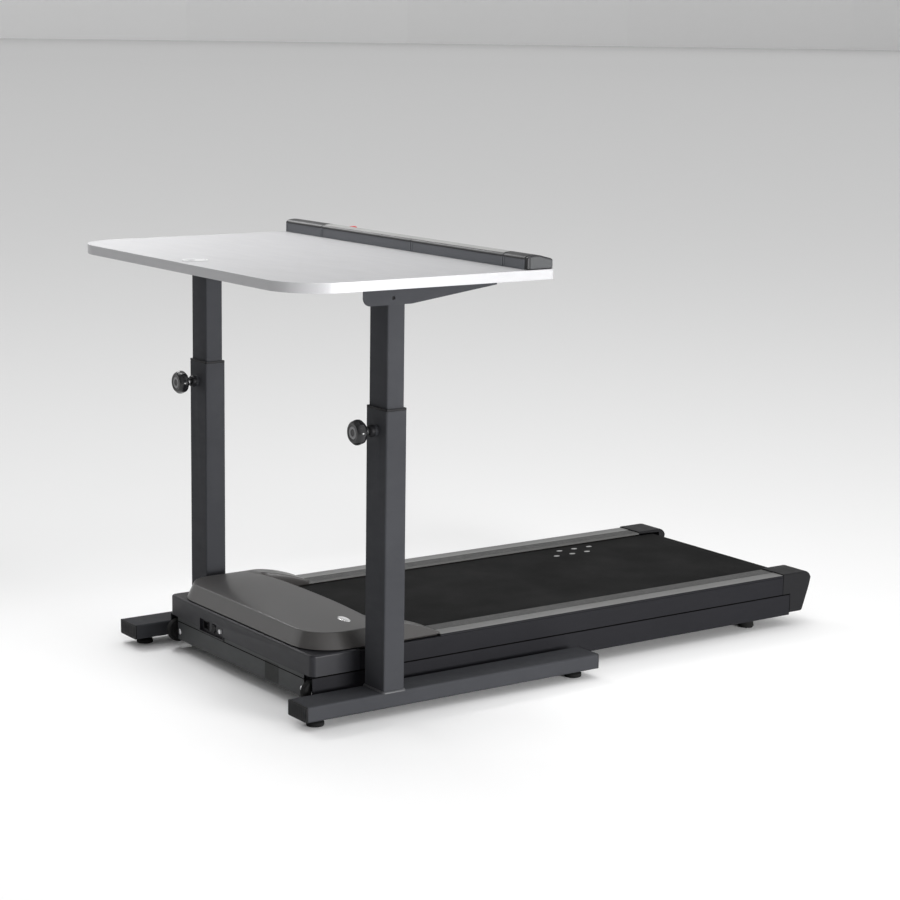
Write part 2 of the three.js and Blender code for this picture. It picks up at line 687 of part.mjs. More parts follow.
// ---------- covers ----------
// The hood's outer form, or its inner one when `inset` is the wall thickness.
function hoodForm(inset, bottom) {
  const half = HOOD_HALF - inset;
  const front = HOOD_FRONT + inset;
  const tip = HOOD_TIP_Y - inset;
  const corner = HOOD_CORNER - inset;
  const plan = roundedRect([-half, half], [front, tip], [corner, corner, 6, 6]);
  const side = new THREE.Shape();
  side.moveTo(front, bottom);
  if (bottom < HOOD_BOTTOM) side.lineTo(front, HOOD_BOTTOM);
  const [browY, browZ] = HOOD_BROW;
  const rimZ = HOOD_RIM_Z - inset;
  side.lineTo(browY + inset, browZ - inset);
  side.bezierCurveTo(browY + 23, rimZ - 7, browY + 93, rimZ - 2, HOOD_RIM_Y, rimZ);
  side.lineTo(HOOD_TIP_Y, Math.max(HOOD_TIP_Z - inset, bottom + 1));
  side.lineTo(HOOD_TIP_Y, bottom);
  const top = HOOD_RIM_Z + 10;
  const topHalf = half - HOOD_LEAN * (top - HOOD_BOTTOM);
  const across = [
    [-half, bottom], [half, bottom], [half, Math.max(bottom, HOOD_BOTTOM) + 1], [topHalf, top],
    [-topHalf, top], [-half, Math.max(bottom, HOOD_BOTTOM) + 1],
  ];
  const form = alongZ(plan, [bottom, top])
    .intersect(alongX(side, [-half, half]))
    .intersect(alongY(across, [front, tip]));
  return cut(form, hoodBay(inset));
}

// The bay behind the hood's rim, over the belt, with the wings' inner slopes as its sides.
function hoodBay(inset) {
  const foot = RAIL_INNER + inset * Math.hypot(1, BAY_LEAN);
  const [low, high] = [DECK_TOP - DECK_THICK, HOOD_RIM_Z + 10];
  const spread = foot + BAY_LEAN * (high - SKIRT_TOP);
  const across = [
    [-foot, low], [foot, low], [foot, SKIRT_TOP], [spread, high], [-spread, high], [-foot, SKIRT_TOP],
  ];
  const rim = HOOD_RIM_Y - inset;
  const end = HOOD_TIP_Y + 10;
  const along = [
    [rim + BAY_RAKE, low], [end, low], [end, high], [rim, high], [rim, HOOD_RIM_Z],
    [rim + BAY_RAKE, SKIRT_TOP],
  ];
  return alongY(across, [rim - 1, end]).intersect(alongX(along, grown([-HOOD_HALF, HOOD_HALF], 1)));
}

// A thin shell with a recessed plinth that stands on the front cover and the side skirts.
function hood() {
  const shell = cut(hoodForm(0, HOOD_BOTTOM), hoodForm(HOOD_WALL, HOOD_BOTTOM - 1));
  const shelf = hoodForm(1, HOOD_BOTTOM).intersect(
    box([-HOOD_HALF, HOOD_HALF], [HOOD_FRONT, HOOD_TIP_Y], [HOOD_BOTTOM, HOOD_BOTTOM + 1.5]),
  );
  const plinth = hoodForm(HOOD_PLINTH, HOOD_FOOT).intersect(
    box([-HOOD_HALF, HOOD_HALF], [HOOD_FRONT, HOOD_TIP_Y], [HOOD_FOOT, HOOD_BOTTOM + 1]),
  );
  const overCover = box(
    [-HOOD_HALF, HOOD_HALF],
    [HOOD_FRONT, COVER_REAR + GAP],
    [HOOD_FOOT - 1, COVER_TOP + GAP],
  );
  const bore = hoodForm(HOOD_PLINTH + HOOD_WALL, HOOD_FOOT - 1);
  return join(shell, cut(join(shelf, cut(plinth, overCover)), bore));
}

// Upper front housing: front wall, rounded corners, short side returns and a top ledge.
function frontCover() {
  const corners = [COVER_CORNER, COVER_CORNER, 0.1, 0.1];
  const outline = roundedRect([-BASE_HALF, BASE_HALF], [BASE_FRONT, COVER_REAR], corners);
  const inner = roundedRect(
    grown([-BASE_HALF, BASE_HALF], -COVER_WALL),
    [BASE_FRONT + COVER_WALL, COVER_REAR + 1],
    [COVER_CORNER - COVER_WALL, COVER_CORNER - COVER_WALL, 0.1, 0.1],
  );
  const shell = cut(
    alongZ(outline, [SEAM_Z, COVER_TOP]),
    alongZ(inner, [SEAM_Z - 1, COVER_TOP - COVER_WALL]),
    box(COVER_BAY, [BASE_FRONT + COVER_LEDGE, COVER_REAR + 1], [COVER_TOP - COVER_WALL - 1, COVER_TOP + 1]),
  );
  const frame = box(grown(PANEL_X, 3), [BASE_FRONT, PANEL_BACK + 3], grown(PANEL_Z, 3));
  const recess = box(PANEL_X, [BASE_FRONT - 1, PANEL_BACK], PANEL_Z);
  const through = [PANEL_BACK - 1, PANEL_BACK + 4];
  const openings = [
    box(grown(INLET_X, GAP), through, grown(INLET_Z, GAP)),
    box(grown(ROCKER_X, 1), through, grown(ROCKER_Z, 1)),
    disc(BREAKER_R + RUNNING, through, "y", [BREAKER_X, 0, BREAKER_Z], 24),
  ];
  return cut(join(shell, frame), recess, ...openings);
}

// Lower front panel folded back into a pan under the motor bay.
function bellyPan() {
  const front = BASE_FRONT + 2;
  const top = SEAM_Z - 1;
  const sheet = join(
    box(PAN_X, [front, front + 2], [SKIRT_BOTTOM, top]),
    box(PAN_X, [front, PAN_REAR], [SKIRT_BOTTOM, SKIRT_BOTTOM + 2]),
  );
  const notch = box(grown(PANEL_X, 4), [front - 1, front + 3], [PANEL_Z[0] - 4, top + 1]);
  return cut(sheet, notch);
}

// Long side cover with a groove at the seam line.
function sideSkirt(side) {
  const [front, rear] = [COVER_REAR + GAP, CAP_FRONT - GAP];
  const seam = SEAM_Z - GAP;
  const outline = [
    [SKIRT_FRONT, SKIRT_BOTTOM], [CAP_STEP - GAP, SKIRT_BOTTOM], [CAP_STEP - GAP, seam],
    [rear, seam], [rear, SKIRT_TOP], [front, SKIRT_TOP], [front, seam], [SKIRT_FRONT, seam],
  ];
  const span = mirrored([BASE_HALF - SKIRT_WALL, BASE_HALF], side);
  const lipX = mirrored([BASE_HALF - SKIRT_LIP, BASE_HALF - 1], side);
  const lip = box(lipX, [front + 4, rear - 2], [SKIRT_TOP - GAP - SKIRT_WALL, SKIRT_TOP - GAP]);
  const grooveX = mirrored([BASE_HALF - 1.2, BASE_HALF + 1], side);
  const groove = box(grooveX, [SKIRT_FRONT - 1, CAP_STEP], [SEAM_Z - 3.5, SEAM_Z]);
  return cut(join(alongX(outline, span), lip), groove);
}

// Foot rail: a smooth outer strip, a groove, and a ribbed inner strip.
function footRail(side) {
  const top = RAIL_TOP;
  const onBelt = DECK_TOP + BELT_THICK + 3 * GAP;
  const onDeck = DECK_TOP + GAP;
  const step = BASE_HALF - SKIRT_LIP - GAP;
  const half = [
    [RAIL_INNER, onBelt], [RAIL_INNER, top - 2], [RAIL_INNER + 2, top - 0.5], [RAIL_GROOVE, top - 0.5],
    [RAIL_GROOVE + 1, top - 2.5], [RAIL_GROOVE + 5, top - 2.5], [RAIL_GROOVE + 6, top],
    [BASE_HALF - 3, top], [BASE_HALF, top - 3], [BASE_HALF, SKIRT_TOP + GAP], [step, SKIRT_TOP + GAP],
    [step, onDeck], [DECK_HALF - 16, onDeck], [DECK_HALF - 16, onBelt],
  ];
  const outline = half.map(([x, z]) => [side * x, z]);
  return alongY(outline, [HOOD_TIP_Y + GAP, CAP_FRONT - GAP]);
}

// Moulded end cap over the rear roller's bracket and the rail's end.
function rearCap(side) {
  const shape = new THREE.Shape();
  shape.moveTo(CAP_FRONT, SEAM_Z);
  shape.lineTo(CAP_STEP, SEAM_Z);
  shape.lineTo(CAP_STEP, CAP_BOTTOM);
  shape.lineTo(CAP_HEEL, CAP_BOTTOM);
  shape.quadraticCurveTo(CAP_HEEL + 6, CAP_BOTTOM + 1, CAP_HEEL + 8, CAP_BOTTOM + 7);
  shape.lineTo(BASE_REAR - 1, CAP_TOP - 24);
  shape.lineTo(BASE_REAR, CAP_TOP - 19);
  shape.quadraticCurveTo(BASE_REAR - 7, CAP_TOP - 1, BASE_REAR - 26, CAP_TOP);
  shape.lineTo(CAP_FRONT, CAP_TOP);
  const body = alongX(shape, mirrored([RAIL_INNER, BASE_HALF + 1.5], side));
  const roof = CAP_TOP - 9;
  const bay = mirrored([RAIL_INNER - 1, BASE_HALF - CAP_WALL], side);
  return cut(
    body,
    box(bay, [CAP_FRONT - 1, REAR_ROLLER_Y + ROLLER_R + 4.5], [CAP_BOTTOM - 1, roof]),
  );
}

// ---------- power panel ----------
// Three-pin appliance inlet: an open box round its pins.
function powerInlet() {
  const front = PANEL_BACK - 2;
  const wall = 3;
  const shell = box(INLET_X, [front, front + 26], INLET_Z);
  const mouth = box(grown(INLET_X, -wall), [front - 1, front + 20], grown(INLET_Z, -wall));
  const x = (INLET_X[0] + INLET_X[1]) / 2;
  const z = (INLET_Z[0] + INLET_Z[1]) / 2;
  const pins = [[-6, -3], [6, -3], [0, 4]].map(([dx, dz]) =>
    box(grown([x + dx, x + dx], 1), [front + 7, front + 22], grown([z + dz, z + dz], 2)),
  );
  return join(cut(shell, mouth), ...pins);
}

// Rocker that tips about its own middle, its face bent at the pivot.
function rocker() {
  const [low, high] = ROCKER_Z;
  const middle = (low + high) / 2;
  const face = PANEL_BACK - 4;
  const outline = [
    [face + 9, low + 3], [face + 9, high - 3], [face + 1, high], [face + 3.2, middle], [face - 1, low],
  ];
  return alongX(outline, ROCKER_X);
}

const breakerButton = () =>
  disc(BREAKER_R, [PANEL_BACK - 5, PANEL_BACK + 8], "y", [BREAKER_X, 0, BREAKER_Z], 24);

// ---------- assembly ----------
add("desktop", desktop(), paint.laminate);
add("cable_grommet", grommet(), paint.key);
add("desk_crossbeam", crossbeam(), paint.steel);
add("console_housing", consoleHousing(), paint.console);
add("console_end_right", consoleShell([CONSOLE_X[0], CONSOLE_X[1]]), paint.console);
add("console_end_left", consoleShell([CONSOLE_X[3], CONSOLE_X[4]]), paint.console);
add("display_window", windowBlock(0, 0.4), paint.lens);
["start_stop_key", "faster_key", "slower_key"].forEach((name, i) => {
  add(name, keyBlock(KEY_X[i], 0, 1.2, 0), paint.key);
});
add("safety_key", safetyKey(), paint.red);

for (const [name, side] of sides) {
  add(`upper_leg_${name}`, upperLeg(side), paint.steel);
  add(`lower_leg_${name}`, lowerLeg(side), paint.barSteel);
  add(`guide_bush_${name}`, guideBush(side), paint.plastic);
  add(`clamp_pad_${name}`, clampPad(side), paint.bright);
  add(`clamp_knob_${name}`, clampKnob(side), paint.plastic);
  for (const end of ["front", "rear"]) {
    add(`bar_cap_${end}_${name}`, barCap(side, end), paint.plastic);
    add(`glide_${end}_${name}`, glide(side, end), paint.rubber);
  }
  add(`base_rail_${name}`, baseRail(side), paint.frame);
  add(`transport_wheel_${name}`, transportWheel(side), paint.rubber);
  add(`side_skirt_${name}`, sideSkirt(side), paint.skirt);
  add(`foot_rail_${name}`, footRail(side), paint.rail);
  add(`rear_cap_${name}`, rearCap(side), paint.plastic);
  add(`base_foot_front_${name}`, baseFoot(side, FOOT_Y[0]), paint.rubber);
  add(`base_foot_rear_${name}`, baseFoot(side, FOOT_Y[1]), paint.rubber);
}

add("motor_tray", motorTray(), paint.frame);
add("deck_board", deckBoard(), paint.board);
add("walking_belt", walkingBelt(), paint.belt);
add("front_roller", frontRoller(), paint.bright);
add("rear_roller", rollerShell(REAR_ROLLER_Y), paint.bright);
add("front_axle", axle(FRONT_ROLLER_Y), paint.bright);
add("rear_axle", axle(REAR_ROLLER_Y), paint.bright);
add("motor_can", motorCan(), paint.frame);
add("motor_rotor", motorRotor(), paint.bright);
add("drive_belt", driveBelt(), paint.rubber);
add("motor_controller", motorController(), paint.bright);
add("motor_hood", hood(), paint.hood);
add("front_cover", frontCover(), paint.plastic);
add("belly_pan", bellyPan(), paint.frame);
add("power_inlet", powerInlet(), paint.rubber);
add("power_rocker", rocker(), paint.rubber);
add("breaker_button", breakerButton(), paint.rubber);

export default model;
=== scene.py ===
"""The looks of a walking treadmill and its height-adjustable desk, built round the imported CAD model.

Metres, +Z up. The walker faces -Y, +X is the walker's left, and the floor is z = 0.
"""

import json
import math

import bmesh
import bpy
from mathutils import Matrix, Vector

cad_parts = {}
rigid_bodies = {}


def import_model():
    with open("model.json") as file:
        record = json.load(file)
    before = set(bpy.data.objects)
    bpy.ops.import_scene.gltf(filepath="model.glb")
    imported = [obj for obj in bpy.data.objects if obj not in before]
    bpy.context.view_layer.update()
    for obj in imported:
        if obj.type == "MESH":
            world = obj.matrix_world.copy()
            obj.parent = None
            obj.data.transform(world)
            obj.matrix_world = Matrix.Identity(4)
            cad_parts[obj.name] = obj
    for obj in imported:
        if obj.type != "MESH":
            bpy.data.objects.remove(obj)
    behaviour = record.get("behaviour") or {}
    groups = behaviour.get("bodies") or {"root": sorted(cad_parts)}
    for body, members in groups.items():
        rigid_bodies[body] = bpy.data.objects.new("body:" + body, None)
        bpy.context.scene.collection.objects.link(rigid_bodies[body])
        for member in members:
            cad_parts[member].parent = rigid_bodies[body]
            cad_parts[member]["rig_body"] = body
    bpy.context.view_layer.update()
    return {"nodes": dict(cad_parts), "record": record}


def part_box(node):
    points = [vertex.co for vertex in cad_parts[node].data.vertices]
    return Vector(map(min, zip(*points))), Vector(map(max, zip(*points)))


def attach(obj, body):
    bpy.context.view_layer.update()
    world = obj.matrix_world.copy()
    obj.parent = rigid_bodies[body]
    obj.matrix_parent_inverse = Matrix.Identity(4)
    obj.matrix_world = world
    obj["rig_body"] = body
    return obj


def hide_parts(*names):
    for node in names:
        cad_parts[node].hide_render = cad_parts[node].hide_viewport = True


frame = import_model()

SIDES = (("left", 1), ("right", -1))
SLOT_OF = {row["node"]: row["material_slot"] for row in frame["record"]["subparts"]}


# ---------- outlines ----------
def rounded(points, radius, steps=5):
    """A closed outline with its corners rounded. radius is one number, or one for each corner."""
    out = []
    radii = list(radius) if hasattr(radius, "__len__") else [radius] * len(points)
    for i, point in enumerate(points):
        before, here, after = Vector(points[i - 1]), Vector(point), Vector(points[(i + 1) % len(points)])
        to_before, to_after = (before - here).normalized(), (after - here).normalized()
        half = to_before.angle(to_after) / 2
        if radii[i] <= 0 or half > math.radians(89.5):
            out.append(here)
            continue
        reach = min(radii[i] / math.tan(half), 0.49 * (before - here).length, 0.49 * (after - here).length)
        radius_here = reach * math.tan(half)
        centre = here + (to_before + to_after).normalized() * (radius_here / math.sin(half))
        start, end = here + to_before * reach - centre, here + to_after * reach - centre
        sweep = math.atan2(start.cross(end), start.dot(end))
        for k in range(steps + 1):
            turn = Matrix.Rotation(sweep * k / steps, 2)
            out.append(centre + turn @ start)
    return out


def rectangle(x0, x1, y0, y1, radius=0.0, steps=5):
    return rounded([(x0, y0), (x1, y0), (x1, y1), (x0, y1)], radius, steps)


def circle(centre, radius, steps=48):
    cx, cy = centre
    turns = [2 * math.pi * k / steps for k in range(steps)]
    return [Vector((cx + radius * math.cos(a), cy + radius * math.sin(a))) for a in turns]


def place(axis, u, v, along):
    """The point at (u, v) of an outline, carried to `along` on the axis."""
    return {"x": (along, u, v), "y": (u, along, v), "z": (u, v, along)}[axis]


# ---------- meshes ----------
def skin(bm, rings, closed=True):
    """Quads between successive rings of vertices, each ring closed on itself."""
    for low, high in zip(rings, rings[1:]):
        count = len(low)
        for i in range(count if closed else count - 1):
            j = (i + 1) % count
            bm.faces.new((low[i], low[j], high[j], high[i]))


def ring_of(bm, points):
    return [bm.verts.new(p) for p in points]


def plate(bm, outline, axis, low, high, holes=()):
    """An outline with holes, carried along an axis from low to high."""
    ends = []
    for along in (low, high):
        loops = [ring_of(bm, [place(axis, u, v, along) for u, v in loop]) for loop in (outline, *holes)]
        edges = [bm.edges.new(pair) for loop in loops for pair in zip(loop, loop[1:] + loop[:1])]
        if holes:
            bmesh.ops.triangle_fill(bm, use_beauty=True, use_dissolve=False, edges=edges)
        else:
            bm.faces.new(loops[0])
        ends.append(loops)
    for first, second in zip(*ends):
        skin(bm, [first, second])


def turned(bm, profile, axis, centre, steps=48, shape=None):
    """A profile of (radius, height) points turned round an axis; shape(angle, radius) may vary the radius.

    A profile that doesn't start and end on the axis is joined up into a ring.
    """
    cu, cv = centre
    rings = []
    for radius, height in profile:
        if radius < 1e-7:
            rings.append([bm.verts.new(place(axis, cu, cv, height))])
            continue
        ring = []
        for k in range(steps):
            angle = 2 * math.pi * k / steps
            r = shape(angle, radius) if shape else radius
            u, v = cu + r * math.cos(angle), cv + r * math.sin(angle)
            ring.append(bm.verts.new(place(axis, u, v, height)))
        rings.append(ring)
    pairs = list(zip(rings, rings[1:]))
    if len(rings[0]) > 1 and len(rings[-1]) > 1:
        pairs.append((rings[-1], rings[0]))
    for low, high in pairs:
        for i in range(steps):
            j = (i + 1) % steps
            corners = [low[i % len(low)], low[j % len(low)], high[j % len(high)], high[i % len(high)]]
            corners = list(dict.fromkeys(corners))
            if len(corners) > 2:
                bm.faces.new(corners)


def arc(centre, radius, start, end, steps=6):
    """Points of (u, v) on an arc, angles in degrees."""
    cu, cv = centre
    angles = [math.radians(start + (end - start) * k / steps) for k in range(steps + 1)]
    return [(cu + radius * math.cos(a), cv + radius * math.sin(a)) for a in angles]


def sweep(bm, section, path):
    """A closed section of (side, up) points carried round a closed, level path."""
    rings = []
    for i, point in enumerate(path):
        ahead = (Vector(path[(i + 1) % len(path)]) - Vector(path[i - 1])).normalized()
        side = Vector((ahead.y, -ahead.x, 0))
        rings.append(ring_of(bm, [Vector(point) + side * s + Vector((0, 0, u)) for s, u in section]))
    skin(bm, [*rings, rings[0]])


# ---------- pieces ----------
CREASE = 35  # degrees between faces from which an edge is shaded sharp


def mesh_object(name, bm):
    mesh = bpy.data.meshes.new(name)
    bm.to_mesh(mesh)
    bm.free()
    made = bpy.data.objects.new(name, mesh)
    bpy.context.scene.collection.objects.link(made)
    return made


def shade_smooth(mesh, crease=CREASE):
    for face in mesh.polygons:
        face.use_smooth = True
    mesh.set_sharp_from_angle(angle=math.radians(crease))


def piece(name, bm, finish, nodes=(), body=None, slot=None, crease=CREASE):
    """Makes the object with its finish, riding on `body` or on the body of the CAD node it stands for."""
    bmesh.ops.remove_doubles(bm, verts=bm.verts, dist=1e-6)
    bmesh.ops.recalc_face_normals(bm, faces=bm.faces)
    made = mesh_object(name, bm)
    for material in finish if isinstance(finish, (list, tuple)) else [finish]:
        made.data.materials.append(material)
    shade_smooth(made.data, crease)
    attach(made, body or frame["nodes"][nodes[0]]["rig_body"])
    if nodes:
        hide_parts(*nodes)
    return made


def plate_piece(name, outline, axis, low, high, finish, nodes, **about):
    bm = bmesh.new()
    plate(bm, [Vector(p) for p in outline], axis, low, high)
    return piece(name, bm, finish, nodes, **about)


def turned_piece(name, profile, axis, centre, steps, finish, nodes=(), **about):
    bm = bmesh.new()
    turned(bm, profile, axis, centre, steps)
    return piece(name, bm, finish, nodes, **about)


def soften(made, width, segments=3, angle=35):
    """Rounds the piece's sharp edges."""
    bevel = made.modifiers.new("Soft edges", "BEVEL")
    bevel.limit_method = "ANGLE"
    bevel.angle_limit = math.radians(angle)
    bevel.width = width
    bevel.segments = segments
    bevel.harden_normals = True
    bevel.use_clamp_overlap = True
    return made


def carve(made, cutter_bm):
    """Cuts a closed form out of a piece, before its edges are softened."""
    bmesh.ops.recalc_face_normals(cutter_bm, faces=cutter_bm.faces)
    cutter = mesh_object("cutter", cutter_bm)
    boolean = made.modifiers.new("Cut", "BOOLEAN")
    boolean.operation = "DIFFERENCE"
    boolean.solver = "EXACT"
    boolean.object = cutter
    bpy.context.view_layer.update()
    result = bpy.data.meshes.new_from_object(made.evaluated_get(bpy.context.evaluated_depsgraph_get()))
    made.modifiers.remove(boolean)
    shade_smooth(result)
    made.data = result
    bpy.data.objects.remove(cutter)


# ---------- finishes ----------
class Graph:
    """A material's node tree, with short calls for the nodes used here."""

    def __init__(self, name):
        self.material = bpy.data.materials.new(name)
        self.material.use_nodes = True
        self.tree = self.material.node_tree
        self.tree.nodes.clear()
        self.shader = self.node("ShaderNodeBsdfPrincipled")
        self.link(self.shader.outputs[0], self.node("ShaderNodeOutputMaterial").inputs[0])
        self.place = self.node("ShaderNodeTexCoord").outputs["Object"]

    def node(self, kind, inputs=None, **settings):
        made = self.tree.nodes.new(kind)
        for key, value in settings.items():
            setattr(made, key, value)
        for key, value in (inputs or {}).items():
            self.put(made.inputs[key], value)
        return made

    def link(self, start, end):
        self.tree.links.new(start, end)

    def put(self, socket, value):
        if hasattr(value, "links"):
            self.link(value, socket)
        else:
            socket.default_value = value

    def stretched(self, scale):
        return self.node("ShaderNodeMapping", {"Vector": self.place, "Scale": scale}).outputs[0]

    def noise(self, scale, detail=3.0, rough=0.5, vector=None):
        inputs = {"Vector": vector or self.place, "Scale": scale, "Detail": detail, "Roughness": rough}
        return self.node("ShaderNodeTexNoise", inputs).outputs["Fac"]

    def ramp(self, value, low, high, start=0.0, end=1.0):
        inputs = {"Value": value, "From Min": low, "From Max": high, "To Min": start, "To Max": end}
        return self.node("ShaderNodeMapRange", inputs, clamp=True).outputs[0]

    def maths(self, operation, a, b):
        return self.node("ShaderNodeMath", {0: a, 1: b}, operation=operation).outputs[0]

    def mix(self, factor, a, b):
        """Colour a where the factor is 0 and colour b where it is 1."""
        return self.node("ShaderNodeMix", {"Factor": factor, 6: a, 7: b}, data_type="RGBA").outputs[2]

    def bump(self, height, strength, distance):
        inputs = {"Strength": strength, "Distance": distance, "Height": height}
        self.link(self.node("ShaderNodeBump", inputs).outputs[0], self.shader.inputs["Normal"])

    def coat(self, color, rough):
        self.put(self.shader.inputs["Base Color"], color)
        self.put(self.shader.inputs["Roughness"], rough)

    def edges(self):
        """1 on an outer edge and 0 on a flat face, broken up by noise."""
        bevel = self.node("ShaderNodeBevel", {"Radius": 0.0015}, samples=4).outputs[0]
        flat = self.node("ShaderNodeNewGeometry").outputs["Normal"]
        dot = self.node("ShaderNodeVectorMath", {0: bevel, 1: flat}, operation="DOT_PRODUCT")
        raw = self.ramp(dot.outputs["Value"], 0.99, 0.85)
        return self.maths("MULTIPLY", raw, self.ramp(self.noise(90, 4), 0.42, 0.62))


def shade(color, factor):
    return (*(min(1.0, c * factor) for c in color[:3]), 1.0)


def moulded(name, color, rough, grain=2600, depth=0.00003, specular=0.5, wear=1.6, metal=0.0,
            patch=0.08, uneven=0.1):
    """Moulded plastic or painted metal: uneven tone, a fine grain, dulled patches and paler edges.

    grain and depth are the surface grain's fineness and height. patch and uneven are the shares by which
    the tone and the roughness vary, and wear is how much paler the edges are, or 0 for none.
    """
    g = Graph(name)
    tone = g.ramp(g.noise(5, 4), 0.3, 0.7)
    base = g.mix(tone, shade(color, 1 - patch), shade(color, 1 + patch))
    specks = g.ramp(g.noise(grain * 0.6, 2), 0.35, 0.65)
    base = g.mix(g.maths("MULTIPLY", specks, 0.15), base, shade(color, 1.3))
    if wear:
        base = g.mix(g.maths("MULTIPLY", g.edges(), 0.5), base, shade(color, wear * 1.6))
    smear = g.noise(22, 5, 0.6, g.stretched((1, 1, 2.5)))
    dulled = g.ramp(smear, 0.3, 0.7, rough * (1 - uneven), min(1.0, rough * (1 + uneven)))
    g.coat(base, dulled)
    g.shader.inputs["Metallic"].default_value = metal
    g.shader.inputs["Specular IOR Level"].default_value = specular
    fine = g.noise(grain, 2, 0.6)
    g.bump(fine, 0.5, depth)
    return g.material


def brushed(name, color, rough, along=(1, 1, 40), metal=1.0):
    """Machined or drawn metal, with fine lines across the stretched axes."""
    g = Graph(name)
    lines = g.noise(60, 6, 0.7, g.stretched(along))
    base = g.mix(lines, shade(color, 0.8), shade(color, 1.1))
    g.coat(base, g.ramp(lines, 0.3, 0.7, rough * 0.8, rough * 1.3))
    g.shader.inputs["Metallic"].default_value = metal
    g.bump(lines, 0.25, 0.00005)
    return g.material


def laminate(name, color, rough):
    """Satin laminate: a faint cloudy tone, tiny pores and soft wipe marks."""
    g = Graph(name)
    cloud = g.ramp(g.noise(3, 5), 0.3, 0.7)
    base = g.mix(cloud, shade(color, 0.985), shade(color, 1.01))
    pores = g.ramp(g.noise(900, 2), 0.62, 0.74)
    base = g.mix(g.maths("MULTIPLY", pores, 0.10), base, shade(color, 0.8))
    wipes = g.noise(7, 5, 0.6, g.stretched((1, 4, 1)))
    g.coat(base, g.ramp(wipes, 0.3, 0.7, rough * 0.9, rough * 1.15))
    g.bump(g.noise(500, 3), 0.2, 0.00005)
    return g.material


def woven_rubber(name, color):
    """Walking-belt top: a close crossed emboss, with pale dust and a roughness that varies in patches."""
    g = Graph(name)
    waves = []
    for turn in (math.radians(45), math.radians(-45)):
        turned_place = g.node("ShaderNodeMapping", {"Vector": g.place, "Rotation": (0, 0, turn)})
        inputs = {"Vector": turned_place.outputs[0], "Scale": 115, "Distortion": 0.4}
        wave = g.node("ShaderNodeTexWave", inputs, wave_type="BANDS", bands_direction="X")
        waves.append(wave.outputs["Fac"])
    emboss = g.maths("MULTIPLY", *waves)
    dust = g.ramp(g.noise(9, 6, 0.65), 0.35, 0.75)
    base = g.mix(emboss, shade(color, 0.75), shade(color, 1.25))
    base = g.mix(g.maths("MULTIPLY", dust, 0.35), base, shade(color, 1.6))
    g.coat(base, g.ramp(g.noise(6, 4), 0.3, 0.7, 0.62, 0.8))
    g.shader.inputs["Specular IOR Level"].default_value = 0.04
    g.bump(emboss, 0.6, 0.0003)
    return g.material


def gloss(name, color, rough=0.08):
    """Smoked window or polished key: smooth, with faint smears in its roughness."""
    g = Graph(name)
    smear = g.noise(40, 5, 0.6, g.stretched((1, 5, 1)))
    g.coat(g.mix(smear, shade(color, 0.9), shade(color, 1.15)),
           g.ramp(smear, 0.3, 0.7, rough * 0.7, rough * 1.5))
    g.bump(g.noise(120, 3), 0.05, 0.00005)
    return g.material


def board(name, color):
    """Painted fibreboard with a faint grain along its length."""
    g = Graph(name)
    grain = g.noise(18, 6, 0.7, g.stretched((30, 1, 30)))
    g.coat(g.mix(grain, shade(color, 0.7), shade(color, 1.4)), g.ramp(grain, 0.3, 0.7, 0.5, 0.7))
    g.bump(grain, 0.3, 0.0002)
    return g.material


FINISH = {
    "white_laminate": laminate("white laminate", (0.46, 0.46, 0.47), 0.45),
    "white_plastic": moulded("white plastic", (0.62, 0.62, 0.63), 0.4, grain=900, wear=0, patch=0.03),
    "powder_coat": moulded("charcoal powder coat", (0.033, 0.034, 0.038), 0.65, grain=1600, depth=0.00006,
                           specular=0.10),
    "black_plastic": moulded("black plastic", (0.006, 0.006, 0.007), 0.5, specular=0.15),
    "cover_plastic": moulded("graphite plastic", (0.015, 0.015, 0.018), 0.42, specular=0.25),
    "skirt_plastic": moulded("black extrusion", (0.007, 0.007, 0.009), 0.55, specular=0.12),
    "hood_plastic": moulded("satin graphite", (0.042, 0.040, 0.039), 0.30, grain=900, depth=0.000002,
                            wear=0, patch=0.02, uneven=0.015),
    "rail_grey": moulded("metallic grey", (0.15, 0.15, 0.148), 0.45, metal=0.1, specular=0.3),
    "console_slate": moulded("slate plastic", (0.098, 0.104, 0.118), 0.42),
    "display_lens": gloss("smoked window", (0.008, 0.008, 0.010)),
    "key_grey": moulded("key grey", (0.42, 0.43, 0.44), 0.45),
    "safety_red": gloss("red gloss", (0.50, 0.018, 0.014), 0.22),
    "rubber": moulded("black rubber", (0.007, 0.007, 0.007), 0.8, grain=700, depth=0.0001, specular=0.15),
    "belt_black": woven_rubber("walking belt", (0.010, 0.010, 0.010)),
    "deck_panel": board("deck board", (0.05, 0.04, 0.032)),
    "frame_black": moulded("satin black paint", (0.016, 0.016, 0.018), 0.5, wear=2.5),
    "bright_steel": brushed("machined steel", (0.58, 0.58, 0.59), 0.28),
    "controller_alloy": brushed("cast aluminium", (0.5, 0.5, 0.51), 0.4),
}
# laminate for the desktop's upright faces: a real edge band, its tone set darker than the top's for how light
# falls on those faces, so partly painted shade
EDGE_BAND_PAINTED_SHADE = laminate("edge band painted shade", (0.38, 0.38, 0.39), 0.35)
# pale colour for the sheet over the console's top: painted reflection of the bright surroundings in the
# glossy top
PAINTED_SHEEN_TOP = moulded("console top painted sheen", (0.34, 0.34, 0.335), 0.42, wear=0)
RAIL_RIBS = moulded("ribbed grey", (0.055, 0.055, 0.054), 0.6)
BADGE = brushed("satin badge", (0.8, 0.8, 0.8), 0.22, along=(30, 1, 1))
CONSOLE_END = moulded("slate end panel", (0.038, 0.040, 0.042), 0.45, specular=0.3)
CONSOLE_LID = moulded("console lid", (0.010, 0.010, 0.012), 0.4, wear=0, specular=0.3)
WELD = moulded("painted weld", (0.048, 0.049, 0.053), 0.5, grain=260, depth=0.0007, wear=0)
KNOB = moulded("gloss black knob", (0.007, 0.007, 0.008), 0.25, wear=0, uneven=0.05)
KNOB_FACE = moulded("grey knob inlay", (0.16, 0.16, 0.165), 0.35)
